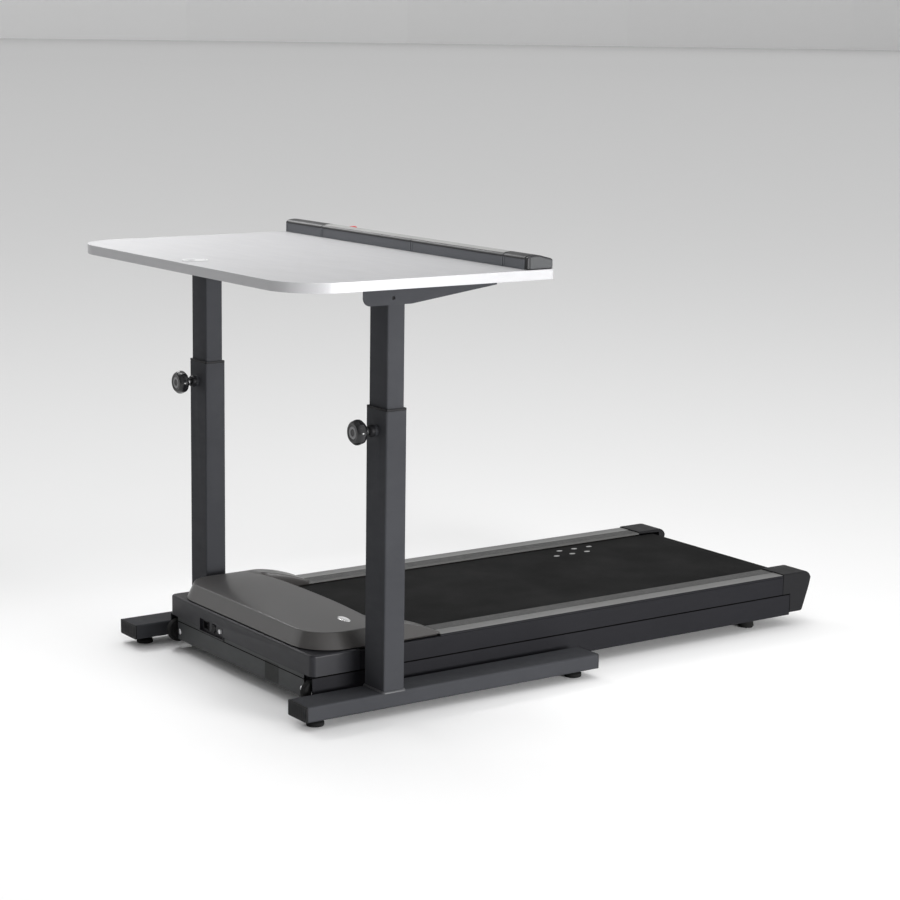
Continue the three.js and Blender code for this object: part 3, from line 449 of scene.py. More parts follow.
# near-black and unlit, standing in for the shadow in narrow grooves and gaps: painted shade
PAINTED_GROOVE_SHADE = moulded("painted groove shade", (0.002, 0.002, 0.002), 0.9, wear=0, specular=0.0)
PAN = moulded("grey front panel", (0.022, 0.024, 0.025), 0.45, specular=0.3)
PLATE = moulded("dark plate", (0.010, 0.011, 0.010), 0.5, wear=0, specular=0.2)
MARK = moulded("belt marks", (0.28, 0.28, 0.28), 0.6, wear=0)


# ---------- CAD nodes that stay ----------
def dress_cad_nodes():
    for name, node in frame["nodes"].items():
        node.data.materials.clear()
        node.data.materials.append(FINISH[SLOT_OF[name]])
        shade_smooth(node.data, 30)


dress_cad_nodes()


# ---------- refined CAD shapes ----------
def refined(node, width=0.0006, wide=0.0, where=None, finish=None):
    """A copy of a CAD node with its flat faces merged and its edges rounded by `width`.

    The outer edges where `where(middle, run)` holds are rounded by `wide` first.
    """
    bm = bmesh.new()
    bm.from_mesh(frame["nodes"][node].data)
    bmesh.ops.remove_doubles(bm, verts=bm.verts, dist=1e-6)
    bmesh.ops.dissolve_limit(bm, angle_limit=math.radians(0.8), verts=bm.verts, edges=bm.edges)
    if wide:
        weight = bm.edges.layers.float.new("bevel_weight_edge")
        for edge in bm.edges:
            convex = edge.is_manifold and edge.calc_face_angle_signed(0) > math.radians(30)
            start, end = (v.co for v in edge.verts)
            edge[weight] = 1.0 if convex and where((start + end) / 2, end - start) else 0.0
    made = piece(node + "_skin", bm, finish or FINISH[SLOT_OF[node]], (node,))
    if wide:
        round_marked(made, wide)
    return soften(made, width, 2, 38)


def round_marked(made, width):
    """Rounds the edges that carry a bevel weight."""
    bevel = made.modifiers.new("Rounded edges", "BEVEL")
    bevel.limit_method = "WEIGHT"
    bevel.width = width
    bevel.segments = 4
    bevel.harden_normals = True
    bevel.use_clamp_overlap = False


# ---------- desktop ----------
def desktop():
    """The top: wide far corners, nearly square ones at the user's edge, and a hole for the grommet."""
    low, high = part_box("desktop")
    far_corner, near_corner = 0.130, 0.008
    corners = (far_corner, far_corner, near_corner, near_corner)
    outline = rectangle(low.x, high.x, low.y, high.y, corners, steps=22)
    grommet_low, grommet_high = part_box("cable_grommet")
    hole = circle(((grommet_low + grommet_high) / 2).xy, 0.030, 64)
    bm = bmesh.new()
    plate(bm, outline, "z", low.z, high.z, [hole])
    made = piece("desktop_panel", bm, [FINISH["white_laminate"], EDGE_BAND_PAINTED_SHADE], ("desktop",))
    # upright faces take the edge band, which carries painted shade
    for face in made.data.polygons:
        face.material_index = 0 if abs(face.normal.z) > 0.5 else 1
    soften(made, 0.0016, 4)


def grommet():
    """Cable grommet: a flanged ring, and a lid in it with a round-ended slot."""
    low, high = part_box("cable_grommet")
    cx, cy = (low.x + high.x) / 2, (low.y + high.y) / 2
    rim, top = high.x, high.z
    sleeve, inside, lid = rim - 0.0028, rim - 0.0060, top - 0.0007
    slot_half, slot_end = 0.0105, cy - 0.010
    profile = [
        (inside, low.z), (sleeve, low.z), (sleeve, top - 0.0020), (rim, top - 0.0020),
        (rim - 0.0003, top - 0.0008), (rim - 0.0016, top), (inside + 0.0006, top), (inside, top - 0.0006),
    ]
    turned_piece("grommet_ring", profile, "z", (cx, cy), 64, FINISH["white_plastic"], ("cable_grommet",))
    radius = inside - 0.0003
    reach = math.degrees(math.asin(slot_half / radius))
    outline = arc((cx, cy), radius, -90 + reach, 270 - reach, 48)
    outline += arc((cx, slot_end), slot_half, 180, 0, 12)
    made = plate_piece("grommet_lid", outline, "z", lid - 0.0025, lid, FINISH["white_plastic"],
                       ("cable_grommet",))
    soften(made, 0.0005, 2)


# ---------- console ----------
CONSOLE_SEAM = 0.062  # x of the joint in the long housing
CONSOLE_GAP = 0.0013  # half the width of a joint
CONSOLE_LID_THICK = 0.0019


def console_curve(low, high):
    """Top line of the console in (y, z), from its far side to the user's."""
    far, near, top = low.y, high.y, high.z
    return [(far, top - 0.0090), (far + 0.0015, top - 0.0055), (far + 0.006, top - 0.0026),
            (far + 0.014, top - 0.0009), (far + 0.026, top), (far + 0.038, top - 0.0010),
            (near - 0.006, top - 0.0095), (near - 0.0015, top - 0.0115), (near, top - 0.0145)]


def console_section(low, high, inset):
    """Outline of the console's body below its lid, with its far face moved in by `inset`."""
    rim = 0.0020
    top = [(y, z - rim) for y, z in console_curve(low, high)]
    top[0] = (low.y + inset, top[0][1] + rim * 0.5)
    return [(low.y + inset, low.z), *top, (high.y, low.z)][::-1]


def console_block(bm, low, high, x0, x1):
    """One length of the console with a shallow panel sunk in its far face."""
    border, step, sunk = 0.005, 0.0004, 0.0009
    stations = [(x0, 0.0), (x0 + border, 0.0), (x0 + border + step, sunk),
                (x1 - border - step, sunk), (x1 - border, 0.0), (x1, 0.0)]
    rings = []
    for x, inset in stations:
        rings.append(ring_of(bm, [(x, y, z) for y, z in console_section(low, high, inset)]))
    skin(bm, rings)
    bm.faces.new(rings[0])
    bm.faces.new(rings[-1])


def console_lid(bm, low, high, x0, x1):
    """The thin cover over the top."""
    outer = console_curve(low, high)
    inner = [(y, z - CONSOLE_LID_THICK) for y, z in outer]
    plate(bm, [Vector(p) for p in (*outer, *inner[::-1])], "x", x0, x1)


def key_well():
    """The round well that the safety key stands in, as a form to cut away."""
    low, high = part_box("safety_key")
    radius, floor, top = (high.x - low.x) / 2 + 0.0005, low.z - 0.0003, high.z + 0.005
    cutter = bmesh.new()
    turned(cutter, [(0, floor), (radius, floor), (radius, top), (0, top)], "z", ((low + high) / 2).xy)
    return cutter


def console():
    """Body and lid of the housing and both ends, in lengths with open joints between them."""
    low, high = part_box("console_housing")
    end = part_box("console_end_left")[1].x
    spans = {
        "console_end_right": [(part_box("console_end_right")[0].x, low.x)],
        "console_housing": [(low.x, CONSOLE_SEAM), (CONSOLE_SEAM, high.x)],
        "console_end_left": [(high.x, end - 0.011)],
    }
    for node, lengths in spans.items():
        bm = bmesh.new()
        for x0, x1 in lengths:
            console_block(bm, low, high, x0 + CONSOLE_GAP, x1 - CONSOLE_GAP)
        made = piece(node + "_body", bm, FINISH["console_slate"], (node,))
        if node == "console_housing":
            carve(made, key_well())
        soften(made, 0.0006, 2)
        bm = bmesh.new()
        for x0, x1 in lengths:
            console_lid(bm, low, high, x0 + CONSOLE_GAP, x1 - CONSOLE_GAP)
        made = piece(node + "_lid", bm, CONSOLE_LID, (node,), slot="black_plastic")
        if node == "console_housing":
            carve(made, key_well())
        soften(made, 0.0004, 2)
    console_end_cap(low, high, end)
    console_painted_sheen(low, high)


def console_end_cap(low, high, end):
    """Dark frame round the console's left end, with a flat panel standing in it."""
    node = "console_end_left"
    outline = [(low.y, low.z), *console_curve(low, high), (high.y, low.z)]
    made = plate_piece("console_end_frame", outline, "x", end - 0.0108, end - 0.0008, CONSOLE_LID, (node,),
                       slot="black_plastic")
    soften(made, 0.0030, 4)
    far, near, foot = low.y + 0.009, high.y - 0.003, low.z + 0.002
    top = [(max(y, far), z - 0.0045) for y, z in console_curve(low, high)[2:-1]]
    face = [(far, foot), *top, (near, top[-1][1]), (near, foot)]
    soften(plate_piece("console_end_panel", face, "x", end - 0.002, end, CONSOLE_END, (node,)), 0.0008)


def console_painted_sheen(low, high):
    """Pale sheet over the housing's crown and slope, open at the safety key's well: a painted reflection of
    the bright surroundings in the glossy top.
    """
    margin, lift, thick = 0.006, 0.0002, 0.0010
    outer = [(y, min(z + lift, high.z)) for y, z in console_curve(low, high)[2:7]]
    band = [*outer, *[(y, z - thick) for y, z in outer[::-1]]]
    made = plate_piece("console_painted_sheen_band", band, "x", low.x + margin, high.x - margin, PAINTED_SHEEN_TOP,
                       ("console_housing",), slot="key_grey")
    carve(made, key_well())


# ---------- legs ----------
ARM_BOLT = (-0.591, 1.020)  # (y, z) of the bolt hole in each support arm
TUBE_HALF_DEPTH = 0.0295  # half the outer tube's size along Y


def legs():
    for side, sign in SIDES:
        low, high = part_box(f"guide_bush_{side}")
        centre = (low + high) / 2
        refined(f"upper_leg_{side}", 0.0008, 0.0035, lambda m, run: run.length > 0.12 and m.z < 1.0)
        refined(f"lower_leg_{side}", 0.0008, 0.0045, lambda m, run: run.length > 0.12)
        collar(f"guide_bush_{side}")
        weld(f"lower_leg_{side}", centre)
        arm_bolt(f"upper_leg_{side}", sign)
        knob(side, centre.x)
        for end in ("front", "rear"):
            bar_cap(f"bar_cap_{end}_{side}")
            glide(f"glide_{end}_{side}")


def collar(node):
    """Bush with a thin flange on the outer tube's mouth, rounded at its upright edges."""
    refined(node, 0.0012, 0.0040, lambda m, run: abs(run.normalized().z) > 0.9 and m.z > 0.7502)


def weld(node, centre):
    """Weld bead round the tube's foot, on top of the foot bar."""
    low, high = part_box(node)
    across, along = (high.x - low.x) / 2, TUBE_HALF_DEPTH
    path = rectangle(centre.x - across, centre.x + across, centre.y - along, centre.y + along, 0.0045, 6)
    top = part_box(node.replace("lower_leg", "bar_cap_front"))[1].z
    radius, under, inside = 0.0042, -0.0008, -0.0015
    bead = arc((0, 0), radius, 0, 90, 10)
    bm = bmesh.new()
    sweep(bm, [(inside, under), (radius, under), *bead, (inside, radius)], [(p.x, p.y, top) for p in path])
    piece(node + "_weld", bm, WELD, (node,))


def arm_bolt(node, sign):
    """Sunk socket screw in the bolt hole of the support arm."""
    low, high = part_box(node)
    face = high.x if sign > 0 else low.x
    profile = [(0, 0.0062), (0.0048, 0.0062), (0.0048, 0.0016), (0.0042, 0.0012), (0.0024, 0.0012),
               (0.0024, 0.0032), (0, 0.0032)]
    turned_piece(node + "_bolt", [(r, face - sign * depth) for r, depth in profile], "x", ARM_BOLT, 24,
                 FINISH["black_plastic"], (node,), slot="black_plastic")


def knob(side, x):
    """Lobed hand knob with a plain ring let into its face, a bright screw collar and a washer."""
    node = f"clamp_knob_{side}"
    low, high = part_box(node)
    centre = (x, (low.z + high.z) / 2)
    face, wide = low.y, (high.z - low.z) / 2
    neck, boss = -0.6225, -0.616  # y of the washer's middle and of the boss on the tube
    head = [
        (0, 0.0016), (0.010, 0.0015), (0.0185, 0.0008), (0.0205, 0.0003), (0.0222, 0), (0.0238, 0.0006),
        (0.0262, 0.0026), (0.0288, 0.0056), (0.0304, 0.0090), (wide, 0.0125), (wide, 0.0165),
        (0.0304, 0.0205), (0.0286, 0.0240), (0.0258, 0.0268), (0.0225, 0.0284), (0.0190, 0.0290), (0, 0.0290),
    ]
    inlay = [(0.0090, 0.0026), (0.0090, 0.0009), (0.0096, 0.0004), (0.0144, 0.0004), (0.0150, 0.0009),
             (0.0150, 0.0026)]
    screw = [(0, neck - 0.0225), (0.0105, neck - 0.0225), (0.0112, neck - 0.0180), (0.0108, neck - 0.0130),
             (0.0085, neck - 0.0095), (0.0060, neck - 0.0085), (0.006, high.y - 0.0008), (0.0052, high.y),
             (0, high.y)]
    washer = [(0.0064, neck - 0.0080), (0.0100, neck - 0.0080), (0.0135, neck - 0.0062),
              (0.0152, neck - 0.0035), (0.0156, neck + 0.0005), (0.0150, boss - 0.0006),
              (0.0064, boss - 0.0006)]

    def lobed(angle, radius):
        """Draws the widest part in between eight soft lobes."""
        share = min(1.0, max(0.0, (radius - 0.0240) / 0.0060))
        return radius - 0.0008 * share * (1 - math.cos(8 * angle))

    bm = bmesh.new()
    turned(bm, [(r, face + depth) for r, depth in head], "y", centre, 128, lobed)
    piece(node + "_head", bm, KNOB, (node,), crease=40)
    inlay = [(r, face + depth) for r, depth in inlay]
    turned_piece(node + "_inlay", inlay, "y", centre, 64, KNOB_FACE, (node,))
    turned_piece(node + "_screw", screw, "y", centre, 40, FINISH["bright_steel"], (node,),
                 slot="bright_steel")
    turned_piece(node + "_washer", washer, "y", centre, 40, FINISH["black_plastic"], (node,))


def bar_cap(node):
    """Plug in the foot bar's end, with fine upright ribs on its face."""
    refined(node, 0.0006, 0.0014, lambda m, run: run.length > 0.002)
    low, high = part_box(node)
    face = low.y if "front" in node else high.y
    count, half_width, half_depth, margin = 9, 0.0012, 0.0005, 0.006
    bm = bmesh.new()
    for k in range(count):
        x = low.x + (high.x - low.x) * (k + 1) / (count + 1)
        rib = rectangle(x - half_width, x + half_width, low.z + margin, high.z - margin, 0.0011, 4)
        plate(bm, rib, "y", face - half_depth, face + half_depth)
    piece(node + "_ribs", bm, FINISH["black_plastic"], (node,))


def glide(node):
    """Floor glide: a soft rounded foot with a lock nut over it."""
    low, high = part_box(node)
    cx, cy = (low.x + high.x) / 2, (low.y + high.y) / 2
    wide = (high.x - low.x) / 2
    profile = [(0, 0), (wide - 0.0030, 0), (wide - 0.0010, 0.0008), (wide, 0.0030), (wide, 0.0085),
               (wide - 0.0008, 0.0103), (wide - 0.0030, 0.0115), (0.0150, 0.0135), (0.0135, 0.0150),
               (0.0135, 0.0225), (0.0050, 0.0225), (0.0050, high.z), (0, high.z)]
    turned_piece(node + "_foot", profile, "z", (cx, cy), 48, FINISH["rubber"], (node,), crease=50)


# ---------- hood ----------
class Hood:
    """The hood's outer surface, from a plan at its foot and a smaller plan at its crease."""

    foot, brow = 0.148, 0.187  # heights of its lower edge and of its crease
    setback = 0.017  # how far the front leans back up to the crease
    lean = 0.564  # how far a side leans in for each metre up
    corner = 0.105
    rim = -0.518  # y of the edge over the belt, which is rim_half wide to each side
    rim_half = 0.251
    rim_corner = 0.025
    plinth = 0.009  # how far the foot overhangs the step under it
    step_front, step_wing = 0.1453, 0.1416  # height where that step ends, in front and beside the belt
    step_change = -0.600  # y where it changes
    bay_foot = 0.1412  # the bay is the opening between the wings that the belt runs into
    bay_half = 0.271
    bay_lean = 0.15
    bay_rake = 0.017
    body_cols, wing_cols, wing_rows = 18, 7, 14
    rim_turns = [math.radians(15 * k) for k in range(1, 7)]

    def __init__(self):
        low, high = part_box("motor_hood")
        self.half, self.front, self.tip, self.rise = high.x, low.y, high.y, high.z - self.brow
        self.pivot = self.half - self.corner
        self.top_half = self.half - self.lean * (self.brow - self.foot)
        self.top_corner = self.top_half - self.pivot
        self.top_front = self.front + self.setback
        self.share = self.rim_half / self.top_half

    def height(self, s, y):
        """Height of the top over the share s of the half width, in front of the rim."""
        t = max(0.0, min(1.0, (y - self.top_front) / (self.rim - self.top_front)))
        climb = (1 - math.exp(-3.5 * t)) / (1 - math.exp(-3.5))
        return self.brow + self.rise * climb * (1 - abs(s) ** 2.5)

    def wing_height(self, r, y):
        """Height of a wing's top at the share r from its inner to its outer edge."""
        t = (y - self.rim) / (self.tip - self.rim)
        slope = 0.189 - 0.0375 * t ** 1.8
        near = self.height(self.share + (1 - self.share) * r, self.rim)
        blend = min(1.0, (y - self.rim) / 0.050)
        blend = blend * blend * (3 - 2 * blend)
        return near + (slope - near) * blend

    def inner(self, y, z):
        """x of a wing's inner top edge."""
        straight = self.bay_half + self.bay_lean * (z - self.bay_foot)
        past = (y - self.rim) / self.rim_corner
        if past >= 1:
            return straight
        return self.rim_half + (straight - self.rim_half) * math.sqrt(1 - (1 - past) ** 2)

    def outer(self, z):
        """x of a side's outer face."""
        return self.half - self.lean * (z - self.foot)

    def shares(self):
        """Where the top's columns stand, as shares of its half width."""
        inside = [self.share * k / self.body_cols for k in range(self.body_cols)]
        outside = [self.share + (1 - self.share) * k / self.wing_cols for k in range(self.wing_cols + 1)]
        positive = inside + outside
        return [-s for s in positive[:0:-1]] + positive

    def rows(self):
        """(y, half width, foot point, plinth point) of the top's rows from the front to the rim, on +X."""
        first_turn, side_rows = 14, 8  # the first turn keeps the second row clear of the front's rounding
        centre_y, foot_y = self.top_front + self.top_corner, self.front + self.corner
        inner_radius = self.corner - self.plinth
        found = []
        for degrees in (0, *(first_turn + (90 - first_turn) * k / 17 for k in range(18))):
            across, ahead = math.sin(math.radians(degrees)), math.cos(math.radians(degrees))
            found.append((centre_y - self.top_corner * ahead, self.pivot + self.top_corner * across,
                          (self.pivot + self.corner * across, foot_y - self.corner * ahead),
                          (self.pivot + inner_radius * across, foot_y - inner_radius * ahead)))
        for k in range(1, side_rows + 1):
            y = foot_y + (self.rim - foot_y) * k / side_rows
            found.append((centre_y + (self.rim - centre_y) * k / side_rows, self.top_half,
                          (self.half, y), (self.half - self.plinth, y)))
        return found

    def wing_ys(self):
        bend = [self.rim + self.rim_corner * (1 - math.cos(a)) for a in self.rim_turns]
        length = self.tip - bend[-1]
        return bend + [bend[-1] + length * k / self.wing_rows for k in range(1, self.wing_rows + 1)]

    def bay_points(self):
        """(x, y) of the bay's lower edge on +X, one point for each row of a wing."""
        radius = self.rim_corner
        x, y = self.bay_half - radius, self.rim + self.bay_rake + radius
        bend = [(x + radius * math.sin(a), y - radius * math.cos(a)) for a in self.rim_turns]
        length = self.tip - y
        return bend + [(self.bay_half, y + length * k / self.wing_rows) for k in range(1, self.wing_rows + 1)]


def hood_wing(bm, h, sign, first):
    """Top of one wing beside the belt, carried on from the last row of the hood's top."""
    grid = [first]
    for y in h.wing_ys():
        x0, x1 = h.inner(y, h.wing_height(0, y)), h.outer(h.wing_height(1, y))
        line = []
        for r in (k / h.wing_cols for k in range(h.wing_cols + 1)):
            line.append(bm.verts.new((sign * (x0 + (x1 - x0) * r), y, h.wing_height(r, y))))
        grid.append(line)
    skin(bm, grid, closed=False)
    return grid


def hood_sides(bm, h, rows, body, wings):
    """Outer walls and the step under them. Returns the wall's rings from its top edge down."""
    halves = []  # top vertex, foot point, plinth point, from a wing's tip to the front
    for sign, wing in wings.items():
        half = []
        for line, y in zip(wing[1:], h.wing_ys()):
            half.insert(0, (line[-1], (sign * h.half, y), (sign * (h.half - h.plinth), y)))
        for row, line in list(zip(rows, body))[:0:-1]:
            half.append((line[-1 if sign > 0 else 0], *((sign * x, y) for x, y in row[2:])))
        halves.append(half)
    front = [(v, (v.co.x, h.front), (v.co.x, h.front + h.plinth)) for v in body[0]]
    line = halves[0] + front[::-1] + halves[1][::-1]
    rings = [[top for top, _, _ in line]]
    rings.append(ring_of(bm, [(*foot, h.foot) for _, foot, _ in line]))
    rings.append(ring_of(bm, [(*plinth, h.foot) for _, _, plinth in line]))
    ends = [h.step_front if y < h.step_change else h.step_wing for _, _, (_, y) in line]
    rings.append(ring_of(bm, [(*plinth, z) for (_, _, plinth), z in zip(line, ends)]))
    skin(bm, rings, closed=False)
    return rings


def hood_bay(bm, h, body, wings):
    """Wall round the opening for the belt. Returns its upper and its lower edge."""
    halves = []
    for sign, wing in wings.items():
        halves.append([(row[0], (sign * x, y)) for row, (x, y) in zip(wing[1:], h.bay_points())][::-1])
    narrow = (h.bay_half - h.rim_corner) / h.rim_half
    rim = [(v, (v.co.x * narrow, h.rim + h.bay_rake)) for v in body[-1][h.wing_cols:-h.wing_cols]]
    line = halves[0] + rim[::-1] + halves[1][::-1]
    edge = [top for top, _ in line]
    down = ring_of(bm, [(*foot, h.bay_foot) for _, foot in line])
    skin(bm, [edge, down], closed=False)
    return edge, down


def hood():
    """One skin from the top over the sides to the step under the foot, then thickened inwards."""
    h = Hood()
    bm = bmesh.new()
    rounds = bm.edges.layers.float.new("bevel_weight_edge")
    rows = h.rows()
    body = [[bm.verts.new((s * w, y, h.height(s, y))) for s in h.shares()] for y, w, _, _ in rows]
    skin(bm, body, closed=False)
    wings = {
        1: hood_wing(bm, h, 1, body[-1][-h.wing_cols - 1:]),
        -1: hood_wing(bm, h, -1, body[-1][h.wing_cols::-1]),
    }
    sides = hood_sides(bm, h, rows, body, wings)
    edge, down = hood_bay(bm, h, body, wings)
    tips = [wing[-1] for wing in wings.values()]
    for tip, at in zip(tips, (0, -1)):
        bm.faces.new([*tip, *(ring[at] for ring in sides[1:]), down[at]])
    for loop in (sides[0], edge, *tips):
        for a, b in zip(loop, loop[1:]):
            bm.edges.get((a, b))[rounds] = 1.0
    made = piece("motor_hood_shell", bm, FINISH["hood_plastic"], ("motor_hood",), crease=40)
    round_marked(made, 0.0022)
    wall = made.modifiers.new("Wall", "SOLIDIFY")
    wall.thickness = 0.0018
    wall.offset = -1
    badge(h)


def badge(h):
    """A small blank oval plate on the hood, at its left."""
    x, y = 0.258, -0.580
    half_length, half_width = 0.024, 0.011
    probe = 0.005
    s = x / h.top_half
    z = h.height(s, y)
    slope_x = (h.height((x + probe) / h.top_half, y) - z) / probe
    slope_y = (h.height(s, y + probe) - z) / probe
    bm = bmesh.new()
    rings = []
    for grow, lift in ((1.0, -0.0006), (1.0, 0.0005), (0.94, 0.0009), (0.86, 0.0007)):
        ring = []
        for across, along in circle((0, 0), grow):
            u, v = half_length * across, half_width * along
            ring.append(bm.verts.new((x + u, y + v, z + slope_x * u + slope_y * v + lift)))
        rings.append(ring)
    skin(bm, rings)
    bm.faces.new(rings[0])
    bm.faces.new(rings[-1])
    piece("hood_badge", bm, BADGE, ("motor_hood",), slot="bright_steel")


# ---------- covers ----------
def covers():
    """Front cover, lower front panel, side skirts and rear caps, with a blank plate and a painted seam shadow
    on the front panel.
    """
    cover_low, cover_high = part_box("front_cover")
    refined("front_cover", 0.0005, 0.0055,
            lambda m, run: m.z > cover_high.z - 0.0001 and m.y < -0.05 and not in_bay(m))
    refined("belly_pan", 0.0005, 0.0016, lambda m, run: m.z > 0.0905 and run.length > 0.1, PAN)
    for side, _ in SIDES:
        skirt = refined(f"side_skirt_{side}", 0.0007, 0.0024,
                        lambda m, run: m.z > 0.1405 and abs(m.x) > 0.3615)
        # the groove between the skirt's two bands gets painted shade
        paint_groove_shade(skirt, lambda c: 0.0884 < c.z < 0.0921 and abs(c.x) < 0.3619)
        refined(f"rear_cap_{side}", 0.0012, 0.0045, cap_edge)
    for node in ("power_inlet", "power_rocker"):
        refined(node, 0.0005)
    low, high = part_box("belly_pan")
    plate_piece("blank_plate", rectangle(0.135, 0.200, 0.036, 0.084, 0.002, 3), "y",
                low.y - 0.0004, low.y + 0.0002, PLATE, ("belly_pan",), slot="black_plastic")
    # a dark strip along the cover's lower edge, wider than the real gap: painted shadow of the seam
    plate_piece("front_seam_painted_shadow", rectangle(low.x, high.x, low.y - 0.0006, low.y + 0.0004), "z",
                cover_low.z - 0.0024, cover_low.z - 0.0004, PAINTED_GROOVE_SHADE, ("belly_pan",), slot="black_plastic")


def paint_groove_shade(made, where):
    """Paints shade on the faces where the rule holds: a near-black, unlit material standing in for the shadow
    down in a groove.
    """
    made.data.materials.append(PAINTED_GROOVE_SHADE)
    for face in made.data.polygons:
        if where(face.center):
            face.material_index = len(made.data.materials) - 1


def in_bay(point):
    """Whether a point of the front cover lies at the opening under the hood."""
    return abs(point.x) < 0.3005 and point.y > -0.701


def cap_edge(middle, run):
    """The cap's upper edges behind the rail, along its outer and inner sides."""
    return middle.z > 0.100 and middle.y > 0.8055 and not 0.2715 <= abs(middle.x) <= 0.360


# ---------- foot rails ----------
def rail_outline(low, high):
    """(x, z) outline of the left foot rail: fine grooves, a channel, then a smooth outer part."""
    inner, outer, top, foot = 0.271, 0.362, high.z, low.z + 0.004
    ribs, first, last = 12, inner + 0.0035, 0.3115
    pitch = (last - first) / ribs
    line = [(inner, foot), (inner, top - 0.0025), (inner + 0.0010, top - 0.0012),
            (first - 0.0004, top - 0.0006)]
    for k in range(ribs):
        x = first + pitch * k
        groove_end = x + pitch * 0.45
        line += [(x, top - 0.0006), (x + 0.0006, top - 0.0017), (groove_end, top - 0.0017),
                 (groove_end + 0.0006, top - 0.0005), (x + pitch - 0.0001, top - 0.0005)]
    line += [(0.3130, top - 0.0006), (0.3140, top - 0.0025), (0.3180, top - 0.0025),
             (0.3188, top - 0.0004), (0.3198, top)]
    line += arc((outer - 0.004, top - 0.004), 0.004, 90, 0)
    return line + [(outer, 0.1413), (0.3467, 0.1413), (0.3467, 0.1378), (0.300, 0.1378), (0.300, foot)]


def foot_rails():
    ribbed_to, side_from = 0.3185, 0.3598  # |x| where the ribbed finish ends and the dark side begins
    for side, sign in SIDES:
        node = f"foot_rail_{side}"
        low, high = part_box(node)
        outline = [(sign * x, z) for x, z in rail_outline(low, high)]
        finish = [FINISH["rail_grey"], RAIL_RIBS, FINISH["skirt_plastic"]]
        made = plate_piece(node + "_strip", outline, "y", low.y, high.y, finish, (node,), crease=30)
        for face in made.data.polygons:
            x = abs(face.center.x)
            face.material_index = 1 if x < ribbed_to else 2 if x > side_from else 0


# ---------- belt ----------
def belt():
    low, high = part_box("walking_belt")
    radius = (high.z - low.z) / 2
    z = (high.z + low.z) / 2
    ends = (low.y + radius, high.y - radius)
    thick = 0.002

    def loop(r):
        return [Vector(p) for p in (*arc((ends[1], z), r, -90, 90, 32), *arc((ends[0], z), r, 90, 270, 32))]

    bm = bmesh.new()
    plate(bm, loop(radius), "x", low.x, high.x, [loop(radius - thick)])
    soften(piece("walking_belt_loop", bm, FINISH["belt_black"], ("walking_belt",)), 0.0005, 2)
    bm = bmesh.new()
    half_width, half_length = 0.0065, 0.0095
    for x, ys in ((-0.185, (0.427, 0.484, 0.538)), (-0.232, (0.473, 0.527, 0.582))):
        for y in ys:
            oval = [Vector((x + half_width * u, y + half_length * v)) for u, v in circle((0, 0), 1, 28)]
            plate(bm, oval, "z", high.z - 0.0002, high.z + 0.0002)
    piece("belt_dots", bm, MARK, ("walking_belt",), slot="key_grey")


# ---------- wheels, feet and small pieces ----------
def wheels():
    """Hard tyre with a recessed hub, and the domed bolt head that holds it, which stays on the base."""
    for side, sign in SIDES:
        node = f"transport_wheel_{side}"
        low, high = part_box(node)
        centre = ((low.y + high.y) / 2, (low.z + high.z) / 2)
        radius = (high.z - low.z) / 2
        inside, outside = (low.x, high.x) if sign > 0 else (high.x, low.x)
        width = abs(outside - inside)
        profile = [
            (0.0054, 0.0), (radius - 0.010, 0.0), (radius - 0.009, 0.0012), (radius - 0.004, 0.0012),
            (radius - 0.0012, 0.0024), (radius, 0.0052), (radius, width - 0.0052),
            (radius - 0.0012, width - 0.0024), (radius - 0.004, width - 0.0012),
            (radius - 0.009, width - 0.0012), (radius - 0.010, width - 0.0038), (0.0135, width - 0.0038),
            (0.0125, width - 0.0003), (0.0054, width - 0.0003),
        ]
        profile = [(r, inside + sign * h) for r, h in profile]
        soften(turned_piece(node + "_tyre", profile, "x", centre, 64, FINISH["rubber"], (node,)), 0.0006, 2)
        head = outside + sign * 0.0004
        dome = [(0, 0.0050), (0.004, 0.0048), (0.0072, 0.0042), (0.0094, 0.0030), (0.0104, 0.0014),
                (0.0104, 0), (0, 0)]
        turned_piece(f"wheel_bolt_{side}", [(r, head + sign * h) for r, h in dome], "x", centre, 32,
                     FINISH["bright_steel"], body="base", slot="bright_steel")
        pan_bolt(side, sign)


def pan_bolt(side, sign):
    """Bright pan-head screw on the lower front panel, near its edge."""
    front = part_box("belly_pan")[0].y
    x, z = sign * 0.312, 0.052
    profile = [(0, 0.0004), (0.0078, 0.0004), (0.0078, -0.0003), (0.0060, -0.0012), (0.0032, -0.0017),
               (0, -0.0018)]
    turned_piece(f"pan_bolt_{side}", [(r, front + h) for r, h in profile], "y", (x, z), 28,
                 FINISH["bright_steel"], body="base", slot="bright_steel")


def small_pieces():
    for node in ("start_stop_key", "faster_key", "slower_key", "display_window"):
        refined(node, 0.0008)
    refined("safety_key", 0.0006)
    refined("breaker_button", 0.0008, finish=FINISH["white_plastic"])
    refined("desk_crossbeam", 0.0015)


desktop()
grommet()
console()
legs()
hood()
covers()
foot_rails()
belt()
wheels()
small_pieces()


